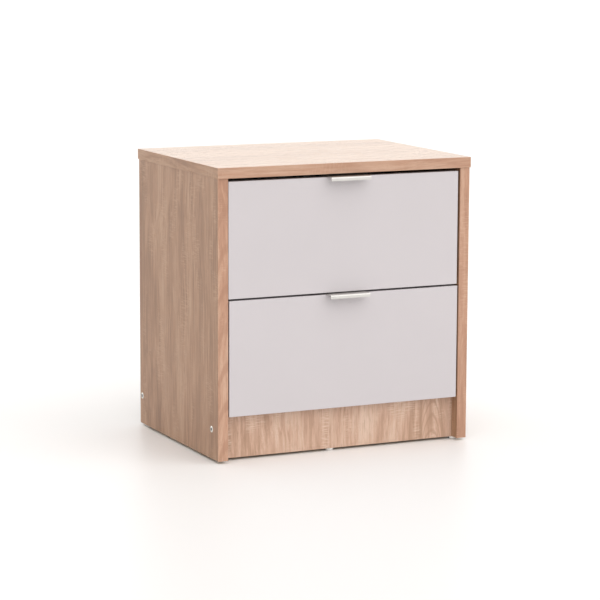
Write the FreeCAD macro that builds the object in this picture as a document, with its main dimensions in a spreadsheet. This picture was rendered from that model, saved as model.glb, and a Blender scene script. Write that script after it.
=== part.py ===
"""Nightstand with two drawers on roller runners, as a parametric FreeCAD document.

Frame: millimetres, +X to the right, -Y to the front, +Z up. The origin is on the floor, at the centre of
the whole outline. Within the document, cabinet pieces are drawn with Y as the depth behind the side
panels' front edges, and drawer pieces also with Z above the bottom edge of their own front. Each piece's
Placement then puts it in the frame.
"""
import FreeCAD, Part
import os
import PartDesign
import Sketcher

DIMENSIONS = {
    # cabinet
    "carcass_wide": 420,
    "side_depth": 313,
    "side_tall": 423,
    "board": 16,
    "edging": 1,
    "top_over_side": 1,
    "top_over_front": 2,
    "back_board": 3,
    "back_inset": 1,
    "plinth_tall": 90,
    "plinth_setback": 17.3,
    "glide_tall": 4,
    "glide_radius": 7,
    "glide_inset": 12,
    "glide_depth": 19,
    "middle_glide_x": -15,
    # drawer fronts
    "front_wide": 383.4,
    "front_tall": 174.5,
    "front_thick": 16,
    "front_recess": 0.8,
    "front_gap": 3,
    "lower_front_lift": 66,
    "upper_front_shift": -1.2,
    # drawer boxes
    "box_wall": 12,
    "box_depth": 250,
    "box_tall": 120,
    "box_lift": 30,
    "base_board": 3,
    "base_lift": 10,
    "groove_deep": 5,
    "groove_play": 0.2,
    # edge pulls
    "pull_long": 66,
    "pull_reach": 17,
    "pull_gauge": 1.5,
    "pull_lip": 6,
    "pull_tail": 15,
    "pull_bend": 2.5,
    "pull_screw_spread": 22,
    # roller runners
    "runner_space": 12.5,
    "runner_gauge": 1,
    "channel_tall": 27,
    "channel_flange": 10.5,
    "channel_lip": 6,
    "channel_setback": 3,
    "rider_tall": 22,
    "rider_flange": 10,
    "roller_inset": 12,
    "roller_radius": 8.8,
    "roller_wide": 5.1,
    "roller_play": 0.3,
    "roller_bore_play": 0.05,
    "roller_side_play": 0.2,
    "pin_radius": 2,
    "pin_head_radius": 3.2,
    "pin_head_thick": 0.7,
    "roller_from_side": 4.2,
    # fasteners
    "cam_radius": 7.5,
    "cam_thick": 12.5,
    "cam_reach": 34,
    "small_cam_radius": 6,
    "small_cam_thick": 9.5,
    "small_cam_reach": 24,
    "cam_hole_radius": 3.8,
    "small_cam_hole_radius": 2.9,
    "cam_bolt_radius": 2.9,
    "cam_bolt_head_radius": 3.4,
    "small_cam_bolt_radius": 2.2,
    "small_cam_bolt_head_radius": 2.6,
    "small_bolt_hole_radius": 3,
    "bolt_thread_radius": 2.5,
    "bolt_thread_long": 11,
    "top_bolt_inset": 50,
    "top_dowel_inset": 82,
    "plinth_dowel_spread": 30,
    "front_bolt_lift": 30,
    "front_bolt_step": 60,
    "dowel_radius": 4,
    "dowel_long": 30,
    "small_dowel_radius": 3,
    "small_dowel_long": 28,
    "dowel_short_end": 10,
    "side_screw_head_radius": 5,
    "side_screw_neck_radius": 3.5,
    "side_screw_thread_radius": 2.5,
    "side_screw_long": 50,
    "side_screw_proud": 0.6,
    "side_screw_sunk": 2.4,
    "nail_radius": 0.8,
    "nail_head_radius": 2,
    "nail_head_thick": 0.6,
    "nail_long": 20,
    "nail_margin": 22,
    "rear_nail_spread": 120,
    "glide_nail_radius": 1,
    "glide_nail_long": 12,
    "channel_screw_radius": 1.75,
    "channel_screw_long": 13,
    "channel_screw_hole_radius": 2,
    "channel_screw_head_radius": 3.2,
    "channel_screw_head_thick": 1.4,
    "channel_screw_first": 37,
    "channel_screw_step": 96,
    "rider_screw_radius": 1.5,
    "rider_screw_long": 9,
    "rider_screw_hole_radius": 1.75,
    "rider_screw_head_radius": 2.8,
    "rider_screw_head_thick": 1.3,
    "rider_screw_first": 40,
    "rider_screw_step": 85,
    "box_screw_radius": 1.75,
    "box_screw_head_radius": 3.5,
    "box_screw_head_thick": 2,
    "box_screw_long": 35,
    "back_screw_lift": 40,
    "back_screw_step": 55,
    "base_screw_spread": 120,
    "pull_screw_radius": 1.25,
    "pull_screw_hole_radius": 1.5,
    "pull_screw_long": 12,
    "pull_screw_head_radius": 2.6,
    "pull_screw_head_thick": 1.6,
}
PLANE_ROLES = {"XY": "XY_Plane", "XZ": "XZ_Plane", "YZ": "YZ_Plane"}
# World direction of each origin plane's normal along its own axis.
PLANE_NORMALS = {"XY": 1, "XZ": -1, "YZ": 1}
LEFT, RIGHT = -1, 1
SIDES = {"left": LEFT, "right": RIGHT}
Vector = FreeCAD.Vector
Rotation = FreeCAD.Rotation
# Turns that send a fastener's own +Z the named way.
TO_RIGHT = Rotation(Vector(0, 1, 0), 90)
TO_LEFT = Rotation(Vector(0, 1, 0), -90)
TO_REAR = Rotation(Vector(1, 0, 0), -90)
TO_FRONT = Rotation(Vector(1, 0, 0), 90)
UPRIGHT = Rotation()


class Size:
    """A length that knows both its value and the sheet expression that gives it."""

    def __init__(self, text, value):
        self.text = text
        self.value = value

    def __add__(self, other):
        other = as_size(other)
        return Size(f"({self.text} + {other.text})", self.value + other.value)

    def __sub__(self, other):
        other = as_size(other)
        return Size(f"({self.text} - {other.text})", self.value - other.value)

    def __rsub__(self, other):
        return as_size(other) - self

    def __mul__(self, other):
        other = as_size(other)
        return Size(f"({self.text} * {other.text})", self.value * other.value)

    def __truediv__(self, other):
        other = as_size(other)
        return Size(f"({self.text} / {other.text})", self.value / other.value)

    def __neg__(self):
        return self * -1

    __radd__ = __add__
    __rmul__ = __mul__


def as_size(number):
    """A plain number as a Size; a Size is returned as it is."""
    return number if isinstance(number, Size) else Size(repr(float(number)), float(number))


def make_sheet(doc):
    """Writes the driving dimensions into the sheet and returns them as Sizes by name."""
    sheet = doc.addObject("Spreadsheet::Sheet", "dims")
    for row, (name, value) in enumerate(DIMENSIONS.items(), start=1):
        sheet.set(f"A{row}", name)
        sheet.set(f"B{row}", str(value))
        sheet.setAlias(f"B{row}", name)
    doc.recompute()
    return {name: Size(f"dims.{name}", float(value)) for name, value in DIMENSIONS.items()}


def bind(item, prop, size):
    """Binds a property of a document object to the sheet."""
    item.setExpression(prop, as_size(size).text)


def put(item, spot, turn=None):
    """Places an object at a spot of Sizes, turned about it by a Rotation."""
    spot = [as_size(part) for part in spot]
    base = Vector(*(part.value for part in spot))
    item.Placement = FreeCAD.Placement(base, turn or Rotation())
    for axis, part in zip("xyz", spot):
        bind(item, f"Placement.Base.{axis}", part)
    return item


def new_body(doc, name):
    """An empty body that carries the piece's name."""
    body = doc.addObject("PartDesign::Body", name)
    body.Label = name
    return body


def new_sketch(body, plane, level):
    """A sketch parallel to one of the body's origin planes, at a world level along that plane's axis."""
    sketch = body.newObject("Sketcher::SketchObject", f"{body.Name}_sketch")
    origin_plane = next(f for f in body.Origin.OriginFeatures if f.Role == PLANE_ROLES[plane])
    sketch.AttachmentSupport = [(origin_plane, "")]
    sketch.MapMode = "FlatFace"
    bind(sketch, "AttachmentOffset.Base.z", as_size(level) * PLANE_NORMALS[plane])
    return sketch


def constrain(sketch, kind, size, *where):
    """Adds a dimension to a sketch and binds it to the sheet."""
    size = as_size(size)
    index = sketch.addConstraint(Sketcher.Constraint(kind, *where, size.value))
    name = f"size{index}"
    sketch.renameConstraint(index, name)
    bind(sketch, f"Constraints.{name}", size)


def draw_outline(sketch, corners):
    """Closed outline of straight edges, each corner held from the sketch's origin."""
    corners = [(as_size(u), as_size(v)) for u, v in corners]
    spots = [Vector(u.value, v.value, 0) for u, v in corners]
    count = len(spots)
    for index, spot in enumerate(spots):
        sketch.addGeometry(Part.LineSegment(spot, spots[(index + 1) % count]), False)
    for index, (u, v) in enumerate(corners):
        sketch.addConstraint(Sketcher.Constraint("Coincident", index, 2, (index + 1) % count, 1))
        constrain(sketch, "DistanceX", u, -1, 1, index, 1)
        constrain(sketch, "DistanceY", v, -1, 1, index, 1)


def rectangle(low, high):
    """The four corners of a rectangle between two opposite corners."""
    return [low, (high[0], low[1]), high, (low[0], high[1])]


def pad(body, plane, level, corners, length, towards=1):
    """Pads an outline from a level, towards +1 or -1 along the plane's world axis."""
    sketch = new_sketch(body, plane, level)
    draw_outline(sketch, corners)
    feature = body.newObject("PartDesign::Pad", f"{body.Name}_pad")
    feature.Profile = sketch
    feature.Reversed = towards != PLANE_NORMALS[plane]
    bind(feature, "Length", length)
    return feature


def cut(body, sketch, plane, towards, depth):
    """Pockets a sketch to a depth, towards +1 or -1 along the plane's world axis."""
    feature = body.newObject("PartDesign::Pocket", f"{body.Name}_cut")
    feature.Profile = sketch
    feature.Reversed = towards == PLANE_NORMALS[plane]
    bind(feature, "Length", depth)
    return feature


def mill(body, plane, level, towards, corners, depth):
    """Mills a straight-edged recess."""
    sketch = new_sketch(body, plane, level)
    draw_outline(sketch, corners)
    return cut(body, sketch, plane, towards, depth)


def drill(body, plane, level, towards, spots, radius, depth):
    """Drills a group of equal holes."""
    sketch = new_sketch(body, plane, level)
    for u, v in spots:
        u, v = as_size(u), as_size(v)
        circle = Part.Circle(Vector(u.value, v.value, 0), Vector(0, 0, 1), as_size(radius).value)
        index = sketch.addGeometry(circle, False)
        constrain(sketch, "DistanceX", u, -1, 1, index, 3)
        constrain(sketch, "DistanceY", v, -1, 1, index, 3)
        constrain(sketch, "Radius", radius, index)
    return cut(body, sketch, plane, towards, depth)


def round_edges(doc, body, test, radius):
    """Fillets the edges whose centre passes a test."""
    doc.recompute()
    base = body.Tip
    names = [f"Edge{n}" for n, edge in enumerate(base.Shape.Edges, start=1) if test(edge.CenterOfMass)]
    feature = body.newObject("PartDesign::Fillet", f"{body.Name}_round")
    feature.Base = (base, names)
    bind(feature, "Radius", radius)
    return feature


def turned(doc, name, outline):
    """A body turned about Z from an outline of (radius, height) corners."""
    body = new_body(doc, name)
    sketch = new_sketch(body, "XZ", 0)
    draw_outline(sketch, outline)
    feature = body.newObject("PartDesign::Revolution", f"{name}_turn")
    feature.Profile = sketch
    feature.ReferenceAxis = (sketch, ["V_Axis"])
    feature.Angle = 360
    return body


def group(doc, name, master, spots):
    """One node of equal separate solids: links to a master at (spot, turn) pairs."""
    copies = []
    for spot, turn in spots:
        link = doc.addObject("App::Link", f"{name}_copy")
        link.LinkedObject = master
        copies.append(put(link, spot, turn))
    node = doc.addObject("Part::Compound", name)
    node.Links = copies
    node.Label = name
    return node


class Layout:
    """The named planes and spacings that the pieces share, all worked out from the sheet."""

    def __init__(self, dims):
        self.dims = dims
        d = self
        for name, size in dims.items():
            setattr(d, name, size)
        d.half_wide = d.carcass_wide / 2
        d.inner_x = d.half_wide - d.board
        d.board_centre_x = d.half_wide - d.board / 2
        d.under_top = d.glide_tall + d.side_tall
        d.frame_y = (d.pull_reach - d.front_recess - d.side_depth - d.back_board) / 2
        d.rear_plinth_y = d.side_depth - d.board
        d.plinth_spots_y = [d.plinth_setback + d.board / 2, d.rear_plinth_y + d.board / 2]
        d.plinth_middle_z = d.glide_tall + d.plinth_tall / 2
        d.glides_y = [d.glide_depth, d.side_depth - d.glide_depth]
        # joints of the top: cam bolts and dowels along each side panel's top edge
        d.top_bolts_y = [d.top_bolt_inset, d.side_depth - d.top_bolt_inset]
        d.top_dowels_y = [d.top_dowel_inset, d.side_depth - d.top_dowel_inset]
        d.rear_nails_x = [-d.rear_nail_spread, as_size(0), d.rear_nail_spread]
        # drawers
        d.lower_z = d.glide_tall + d.lower_front_lift
        d.upper_z = d.lower_z + d.front_tall + d.front_gap
        d.front_back_y = d.front_recess + d.front_thick
        d.box_rear_y = d.front_back_y + d.box_depth
        d.box_back_y = d.box_rear_y - d.box_wall
        d.box_outer_x = d.inner_x - d.runner_space
        d.box_inner_x = d.box_outer_x - d.box_wall
        d.wall_centre_x = d.box_outer_x - d.box_wall / 2
        d.base_z = d.box_lift + d.base_lift
        d.box_top_z = d.box_lift + d.box_tall
        first_bolt_z = d.box_lift + d.front_bolt_lift
        d.front_bolts_z = [first_bolt_z, first_bolt_z + d.front_bolt_step]
        d.front_dowel_z = first_bolt_z + d.front_bolt_step / 2
        first_screw_z = d.box_lift + d.back_screw_lift
        d.back_screws_z = [first_screw_z, first_screw_z + d.back_screw_step]
        d.base_screws_x = [-d.base_screw_spread, as_size(0), d.base_screw_spread]
        # runners
        d.channel_front_y = d.front_back_y + d.channel_setback
        first_channel_screw_y = d.channel_front_y + d.channel_screw_first
        d.channel_screws_y = [first_channel_screw_y + d.channel_screw_step * count for count in range(3)]
        d.channel_screw_z = d.box_lift + d.channel_tall / 2
        first_rider_screw_y = d.front_back_y + d.rider_screw_first
        d.rider_screws_y = [first_rider_screw_y + d.rider_screw_step * count for count in range(3)]
        d.channel_roller_y = d.channel_front_y + d.roller_inset
        d.rider_roller_y = d.box_rear_y - d.roller_inset
        d.rider_under = d.box_lift + d.rider_tall - d.runner_gauge
        d.channel_roller_z = d.rider_under - d.roller_play - d.roller_radius
        d.rider_roller_z = d.box_lift + d.runner_gauge + d.roller_play + d.roller_radius
        d.rider_web = d.runner_space - d.runner_gauge

    def drawers(self):
        """Name, height of the front's bottom edge and sideways shift of the front of each drawer."""
        return [("upper", self.upper_z, self.upper_front_shift), ("lower", self.lower_z, as_size(0))]

    def glide_x(self, side):
        return (self.half_wide - self.glide_inset) * side

    def from_side(self, side, distance):
        """X at a distance from one side panel's inner face towards the middle."""
        return (self.inner_x - distance) * side


# ---------------------------------------------------------------- cabinet boards


def top_panel(doc, d):
    """The top board, drilled below for its cam bolts and dowels."""
    body = new_body(doc, "top_panel")
    x = d.half_wide + d.top_over_side - d.edging
    low = (-x, d.edging - d.top_over_front)
    high = (x, d.side_depth + d.back_board)
    pad(body, "XY", d.under_top, rectangle(low, high), d.board)
    bolts = [(d.board_centre_x * side, y) for side in SIDES.values() for y in d.top_bolts_y]
    dowels = [(d.board_centre_x * side, y) for side in SIDES.values() for y in d.top_dowels_y]
    drill(body, "XY", d.under_top, 1, bolts, d.bolt_thread_radius, d.bolt_thread_long)
    drill(body, "XY", d.under_top, 1, dowels, d.dowel_radius, d.dowel_short_end)
    return body


def top_edging(doc, d):
    """The edge band round the front and both ends of the top."""
    body = new_body(doc, "top_edging")
    outer_x = d.half_wide + d.top_over_side
    inner_x = outer_x - d.edging
    front_y = -d.top_over_front
    rear_y = d.side_depth + d.back_board
    corners = [
        (-outer_x, front_y), (outer_x, front_y), (outer_x, rear_y), (inner_x, rear_y),
        (inner_x, front_y + d.edging), (-inner_x, front_y + d.edging), (-inner_x, rear_y), (-outer_x, rear_y),
    ]
    pad(body, "XY", d.under_top, corners, d.board)
    return body


def nail_heights(d):
    """Heights of the six nails along each side panel's rear edge."""
    step = (d.side_tall - d.nail_margin * 2) / 5
    return [d.glide_tall + d.nail_margin + step * row for row in range(6)]


def side_panel(doc, d, name, side):
    """One side board with all its pockets and holes."""
    body = new_body(doc, f"side_{name}")
    outline = rectangle((d.edging, d.glide_tall), (d.side_depth, d.under_top))
    pad(body, "YZ", d.inner_x * side, outline, d.board, side)
    outer, inner = d.half_wide * side, d.inner_x * side
    centre = d.board_centre_x * side
    # top edge and inner face: the cam joints and dowels of the top
    bolts = [(centre, y) for y in d.top_bolts_y]
    drill(body, "XY", d.under_top, -1, bolts, d.dowel_radius, d.cam_reach)
    drill(body, "XY", d.under_top, -1, [(centre, y) for y in d.top_dowels_y], d.dowel_radius,
          d.dowel_long - d.dowel_short_end)
    cams = [(y, d.under_top - d.cam_reach) for y in d.top_bolts_y]
    drill(body, "YZ", inner, side, cams, d.cam_radius, d.cam_thick)
    # outer face: the screws into the plinths, with a recess for each head
    screws = [(y, d.plinth_middle_z) for y in d.plinth_spots_y]
    drill(body, "YZ", outer, -side, screws, d.side_screw_head_radius, d.side_screw_sunk)
    drill(body, "YZ", outer, -side, screws, d.side_screw_neck_radius, d.board)
    # inner face: plinth dowels and channel screws
    dowels = [(y, z) for y in d.plinth_spots_y for z in plinth_dowel_heights(d)]
    drill(body, "YZ", inner, side, dowels, d.dowel_radius, d.dowel_short_end)
    channels = [(y, base + d.channel_screw_z) for _, base, _ in d.drawers() for y in d.channel_screws_y]
    drill(body, "YZ", inner, side, channels, d.channel_screw_radius, d.channel_screw_long - d.runner_gauge)
    # rear edge: nails of the back panel; bottom edge: nails of the glides
    nails = [(centre, z) for z in nail_heights(d)]
    drill(body, "XZ", d.side_depth, -1, nails, d.nail_radius, d.nail_long - d.back_board)
    glides = [(d.glide_x(side), y) for y in d.glides_y]
    drill(body, "XY", d.glide_tall, 1, glides, d.glide_nail_radius, d.glide_nail_long)
    return body


def side_edging(doc, d):
    """The edge bands on both side panels' front edges."""
    strips = []
    for name, side in SIDES.items():
        strip = doc.addObject("Part::Box", f"edge_band_{name}")
        bind(strip, "Length", d.board)
        bind(strip, "Width", d.edging)
        bind(strip, "Height", d.side_tall)
        left_x = -d.half_wide if side == LEFT else d.inner_x
        strips.append(put(strip, (left_x, 0, d.glide_tall)))
    node = doc.addObject("Part::Compound", "side_edging")
    node.Links = strips
    node.Label = "side_edging"
    return node


def plinth_dowel_heights(d):
    """Heights of the two dowels at each end of a plinth."""
    return [d.plinth_middle_z - d.plinth_dowel_spread, d.plinth_middle_z + d.plinth_dowel_spread]


def plinth(doc, d, name, front_y):
    """A board between the side panels, resting on the glides' level."""
    body = new_body(doc, name)
    outline = rectangle((-d.inner_x, d.glide_tall), (d.inner_x, d.glide_tall + d.plinth_tall))
    pad(body, "XZ", front_y, outline, d.board)
    centre_y = front_y + d.board / 2
    for side in SIDES.values():
        end = d.inner_x * side
        screw_depth = d.side_screw_long - d.board + d.side_screw_proud
        drill(body, "YZ", end, -side, [(centre_y, d.plinth_middle_z)], d.side_screw_thread_radius, screw_depth)
        dowels = [(centre_y, z) for z in plinth_dowel_heights(d)]
        drill(body, "YZ", end, -side, dowels, d.dowel_radius, d.dowel_long - d.dowel_short_end)
    return body


def plinth_front(doc, d):
    """The front plinth, drilled below for the middle glide."""
    body = plinth(doc, d, "plinth_front", d.plinth_setback)
    middle = [(d.middle_glide_x, d.plinth_spots_y[0])]
    drill(body, "XY", d.glide_tall, 1, middle, d.glide_nail_radius, d.glide_nail_long)
    return body


def plinth_rear(doc, d):
    """The rear plinth, drilled behind for the back panel's nails."""
    body = plinth(doc, d, "plinth_rear", d.rear_plinth_y)
    nails = [(x, d.plinth_middle_z) for x in d.rear_nails_x]
    drill(body, "XZ", d.side_depth, -1, nails, d.nail_radius, d.nail_long - d.back_board)
    return body


def back_nail_spots(d):
    """Places of the back panel's nails, as (X, Z)."""
    sides = [(d.board_centre_x * side, z) for side in SIDES.values() for z in nail_heights(d)]
    return sides + [(x, d.plinth_middle_z) for x in d.rear_nails_x]


def back_panel(doc, d):
    """The hardboard back, nailed over the rear edges."""
    body = new_body(doc, "back_panel")
    x = d.half_wide - d.back_inset
    outline = rectangle((-x, d.glide_tall + d.back_inset), (x, d.under_top))
    pad(body, "XZ", d.side_depth, outline, d.back_board)
    rear = d.side_depth + d.back_board
    drill(body, "XZ", rear, -1, back_nail_spots(d), d.nail_radius, d.back_board)
    drill(body, "XZ", rear, -1, back_nail_spots(d), d.nail_head_radius, d.nail_head_thick)
    return body


# ---------------------------------------------------------------- fasteners

def towards_side(side):
    """The turn that sends +Z outward, to the given side."""
    return TO_RIGHT if side == RIGHT else TO_LEFT


def away_from_side(side):
    """The turn that sends +Z inward, from the given side."""
    return towards_side(-side)


def dowel(doc, name, radius, length):
    """A plain dowel with chamfered ends, from Z = 0 to its length."""
    slope = 1.0
    outline = [(0, 0), (radius - slope, 0), (radius, slope), (radius, length - slope), (radius - slope, length),
               (0, length)]
    return turned(doc, name, outline)


def pan_screw(doc, name, radius, length, head_radius, head_thick):
    """A screw whose head is above Z = 0 and whose pointed shank is below it."""
    point = 2.0
    outline = [
        (0, -length), (radius, point - length), (radius, 0), (head_radius, 0), (head_radius, head_thick * 0.5),
        (head_radius * 0.7, head_thick), (0, head_thick),
    ]
    return turned(doc, name, outline)


def box_screw(doc, d):
    """A flat-headed screw, its head's face at Z = 0 and its pointed shank below."""
    point = 3
    outline = [
        (0, -d.box_screw_long), (d.box_screw_radius, point - d.box_screw_long),
        (d.box_screw_radius, -d.box_screw_head_thick), (d.box_screw_head_radius, -d.box_screw_head_thick),
        (d.box_screw_head_radius, 0), (0, 0),
    ]
    return turned(doc, "box_screw_master", outline)


def side_screw(doc, d):
    """The screw through a side panel into a plinth: domed head with a hexagonal socket, thick neck and a
    thinner threaded part. Z = 0 is the side panel's outer face."""
    tip = d.side_screw_proud - d.side_screw_long
    neck_end = -d.board
    outline = [
        (0, tip), (d.side_screw_thread_radius * 0.5, tip), (d.side_screw_thread_radius, tip + 3),
        (d.side_screw_thread_radius, neck_end), (d.side_screw_neck_radius, neck_end),
        (d.side_screw_neck_radius, -d.side_screw_sunk), (d.side_screw_head_radius, -d.side_screw_sunk),
        (d.side_screw_head_radius, 0), (d.side_screw_head_radius - 1, d.side_screw_proud),
        (0, d.side_screw_proud),
    ]
    body = turned(doc, "side_screw_master", outline)
    corner, deep = 2.3, 2.5
    half, rise = corner * 0.5, corner * 0.866
    hexagon = [(corner, 0), (half, rise), (-half, rise), (-corner, 0), (-half, -rise), (half, -rise)]
    mill(body, "XY", d.side_screw_proud, -1, hexagon, deep)
    return body


def cam_bolt(doc, name, thread_radius, thread_long, reach, shank_radius, head_radius):
    """A cam bolt: threaded above Z = 0, and a shank with a notched head that ends in the cam below it."""
    tip = -reach - 2
    head_end, neck_end = tip + 3, tip + 6
    neck = shank_radius * 0.7
    collar, lead = 1.5, 1
    outline = [
        (0, tip), (head_radius, tip), (head_radius, head_end), (neck, head_end), (neck, neck_end),
        (shank_radius, neck_end), (shank_radius, -collar), (head_radius, -collar), (head_radius, 0),
        (thread_radius, 0), (thread_radius, thread_long - lead), (thread_radius - lead, thread_long),
        (0, thread_long),
    ]
    return turned(doc, name, outline)


def cam(doc, name, radius, thick, bolt_inset, bolt_radius):
    """A cam lock: its face with a cross slot at Z = 0, its body below, and a hole for the bolt's head that
    comes in from +X."""
    body = turned(doc, name, [(0, -thick), (radius, -thick), (radius, 0), (0, 0)])
    past_middle = 3.5
    drill(body, "YZ", radius, -1, [(0, -bolt_inset)], bolt_radius, radius + past_middle)
    slot_reach, slot_half, slot_deep = 3.2, 0.6, 1.5
    for long, wide in ((slot_reach, slot_half), (slot_half, slot_reach)):
        mill(body, "XY", 0, -1, rectangle((-long, -wide), (long, wide)), slot_deep)
    return body


def top_fasteners(doc, d):
    """The cam joints and dowels of the top, and the dowels of the plinths."""
    bolt = cam_bolt(doc, "top_bolt_master", d.bolt_thread_radius, d.bolt_thread_long, d.cam_reach,
                    d.cam_bolt_radius, d.cam_bolt_head_radius)
    lock = cam(doc, "top_cam_master", d.cam_radius, d.cam_thick, d.board / 2, d.cam_hole_radius)
    peg = dowel(doc, "dowel_master", d.dowel_radius, d.dowel_long)
    bolts, locks, pegs, plinth_pegs = [], [], [], []
    for side in SIDES.values():
        x = d.board_centre_x * side
        face = d.inner_x * side
        # the cam's face looks inward and its bolt hole upward
        turn = Rotation(Vector(0, 0, 1), Vector(0, side, 0), Vector(-side, 0, 0), "ZXY")
        bolts += [((x, y, d.under_top), UPRIGHT) for y in d.top_bolts_y]
        locks += [((face, y, d.under_top - d.cam_reach), turn) for y in d.top_bolts_y]
        pegs += [((x, y, d.under_top - d.dowel_long + d.dowel_short_end), UPRIGHT) for y in d.top_dowels_y]
        for y in d.plinth_spots_y:
            for z in plinth_dowel_heights(d):
                start = (d.inner_x + d.dowel_short_end) * side
                plinth_pegs.append(((start, y, z), away_from_side(side)))
    return [
        group(doc, "top_cam_bolts", bolt, bolts),
        group(doc, "top_cams", lock, locks),
        group(doc, "top_dowels", peg, pegs),
        group(doc, "plinth_dowels", peg, plinth_pegs),
    ]


def side_screws(doc, d):
    """The four screws through the side panels into the plinths."""
    spots = [((d.half_wide * side, y, d.plinth_middle_z), towards_side(side))
             for side in SIDES.values() for y in d.plinth_spots_y]
    return group(doc, "side_screws", side_screw(doc, d), spots)


def back_nails(doc, d):
    """The nails of the back panel, their heads flush."""
    outline = [
        (0, -d.nail_long), (d.nail_radius, 2 - d.nail_long), (d.nail_radius, -d.nail_head_thick),
        (d.nail_head_radius, -d.nail_head_thick), (d.nail_head_radius, 0), (0, 0),
    ]
    master = turned(doc, "nail_master", outline)
    rear = d.side_depth + d.back_board
    return group(doc, "back_nails", master, [((x, rear, z), TO_REAR) for x, z in back_nail_spots(d)])


def glides(doc, d):
    """Nail-on plastic glides: four at the corners, where side and plinth meet, and one under the front."""
    outline = [
        (0, 0), (d.glide_radius - 1.5, 0), (d.glide_radius, 1.2), (d.glide_radius, d.glide_tall),
        (d.glide_nail_radius, d.glide_tall), (d.glide_nail_radius, d.glide_tall + d.glide_nail_long - 2),
        (0, d.glide_tall + d.glide_nail_long),
    ]
    master = turned(doc, "glide_master", outline)
    spots = [((d.glide_x(side), y, 0), UPRIGHT) for side in SIDES.values() for y in d.glides_y]
    spots.append(((d.middle_glide_x, d.plinth_spots_y[0], 0), UPRIGHT))
    return group(doc, "glides", master, spots)


# ---------------------------------------------------------------- roller runners


def channel(doc, d, name, side_name, side):
    """Cabinet half of a roller runner: a C-shaped channel with a down-turned upper lip."""
    body = new_body(doc, f"{name}_channel_{side_name}")
    gauge, low, high = d.runner_gauge, d.box_lift, d.box_lift + d.channel_tall
    section = [
        (0, low), (d.channel_flange, low), (d.channel_flange, low + gauge), (gauge, low + gauge),
        (gauge, high - gauge), (d.channel_lip - gauge, high - gauge), (d.channel_lip - gauge, high - gauge * 3),
        (d.channel_lip, high - gauge * 3), (d.channel_lip, high), (0, high),
    ]
    corners = [(d.from_side(side, across), z) for across, z in section]
    pad(body, "XZ", d.channel_front_y, corners, d.box_depth)
    screws = [(y, d.channel_screw_z) for y in d.channel_screws_y]
    face = d.from_side(side, gauge)
    drill(body, "YZ", face, side, screws, d.channel_screw_hole_radius, gauge)
    drill(body, "YZ", face, side, [(d.channel_roller_y, d.channel_roller_z)], d.pin_radius, gauge)
    return body


def rider(doc, d, name, side_name, side):
    """Drawer half of a roller runner: a flange under the box side, a web on its outer face and an outward
    flange that rides on the channel's roller."""
    body = new_body(doc, f"{name}_runner_{side_name}")
    gauge, low, high = d.runner_gauge, d.box_lift - d.runner_gauge, d.box_lift + d.rider_tall
    web_out, web_in = d.rider_web, d.runner_space
    tip = d.runner_space - d.rider_flange
    inner = d.runner_space + d.box_wall
    section = [
        (inner, low), (inner, d.box_lift), (web_in, d.box_lift), (web_in, high), (tip, high),
        (tip, high - gauge), (web_out, high - gauge), (web_out, low),
    ]
    corners = [(d.from_side(side, across), z) for across, z in section]
    pad(body, "XZ", d.front_back_y, corners, d.box_depth)
    screws = [(d.wall_centre_x * side, y) for y in d.rider_screws_y]
    drill(body, "XY", low, 1, screws, d.rider_screw_hole_radius, gauge)
    pin = [(d.rider_roller_y, d.rider_roller_z)]
    drill(body, "YZ", d.from_side(side, web_out), -side, pin, d.pin_radius, gauge)
    return body


def roller(doc, d, name):
    """A plastic roller turned about Z, from Z = 0 to its width."""
    bore = d.pin_radius + d.roller_bore_play
    edge = 0.5
    wide = d.roller_wide
    outline = [
        (bore, 0), (d.roller_radius - edge, 0), (d.roller_radius, edge), (d.roller_radius, wide - edge),
        (d.roller_radius - edge, wide), (bore, wide),
    ]
    return turned(doc, name, outline)


def roller_pin(doc, d, name, shoulder_long):
    """A riveted pin: a tenon in the sheet below Z = 0, a shoulder, the roller's seat and a head."""
    seat_end = shoulder_long + d.roller_wide + d.roller_side_play
    shoulder_radius = d.pin_radius + 1
    outline = [
        (0, -d.runner_gauge), (d.pin_radius, -d.runner_gauge), (d.pin_radius, 0), (shoulder_radius, 0),
        (shoulder_radius, shoulder_long), (d.pin_radius, shoulder_long), (d.pin_radius, seat_end),
        (d.pin_head_radius, seat_end), (d.pin_head_radius, seat_end + d.pin_head_thick),
        (0, seat_end + d.pin_head_thick),
    ]
    return turned(doc, name, outline)


def cabinet_runners(doc, d):
    """Channels, their screws, pins and rollers, for both drawers."""
    nodes = []
    screw_spots, pin_spots = [], []
    shoulder = d.roller_from_side - d.runner_gauge - d.roller_side_play / 2
    for name, base, _ in d.drawers():
        for side_name, side in SIDES.items():
            nodes.append(drawer_place(channel(doc, d, name, side_name, side), d, base))
            face = d.from_side(side, d.runner_gauge)
            inward = away_from_side(side)
            screw_spots += [((face, y, base + d.channel_screw_z), inward) for y in d.channel_screws_y]
            pin_spots.append(((face, d.channel_roller_y, base + d.channel_roller_z), inward))
            wheel = roller(doc, d, f"{name}_channel_roller_{side_name}")
            spot = (d.from_side(side, d.roller_from_side), d.frame_y + d.channel_roller_y,
                    base + d.channel_roller_z)
            nodes.append(put(wheel, spot, inward))
    screw = pan_screw(doc, "channel_screw_master", d.channel_screw_radius, d.channel_screw_long,
                      d.channel_screw_head_radius, d.channel_screw_head_thick)
    pin = roller_pin(doc, d, "channel_pin_master", shoulder)
    nodes.append(cabinet_place(group(doc, "channel_screws", screw, screw_spots), d))
    nodes.append(cabinet_place(group(doc, "channel_pins", pin, pin_spots), d))
    return nodes


# ---------------------------------------------------------------- drawers


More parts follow.
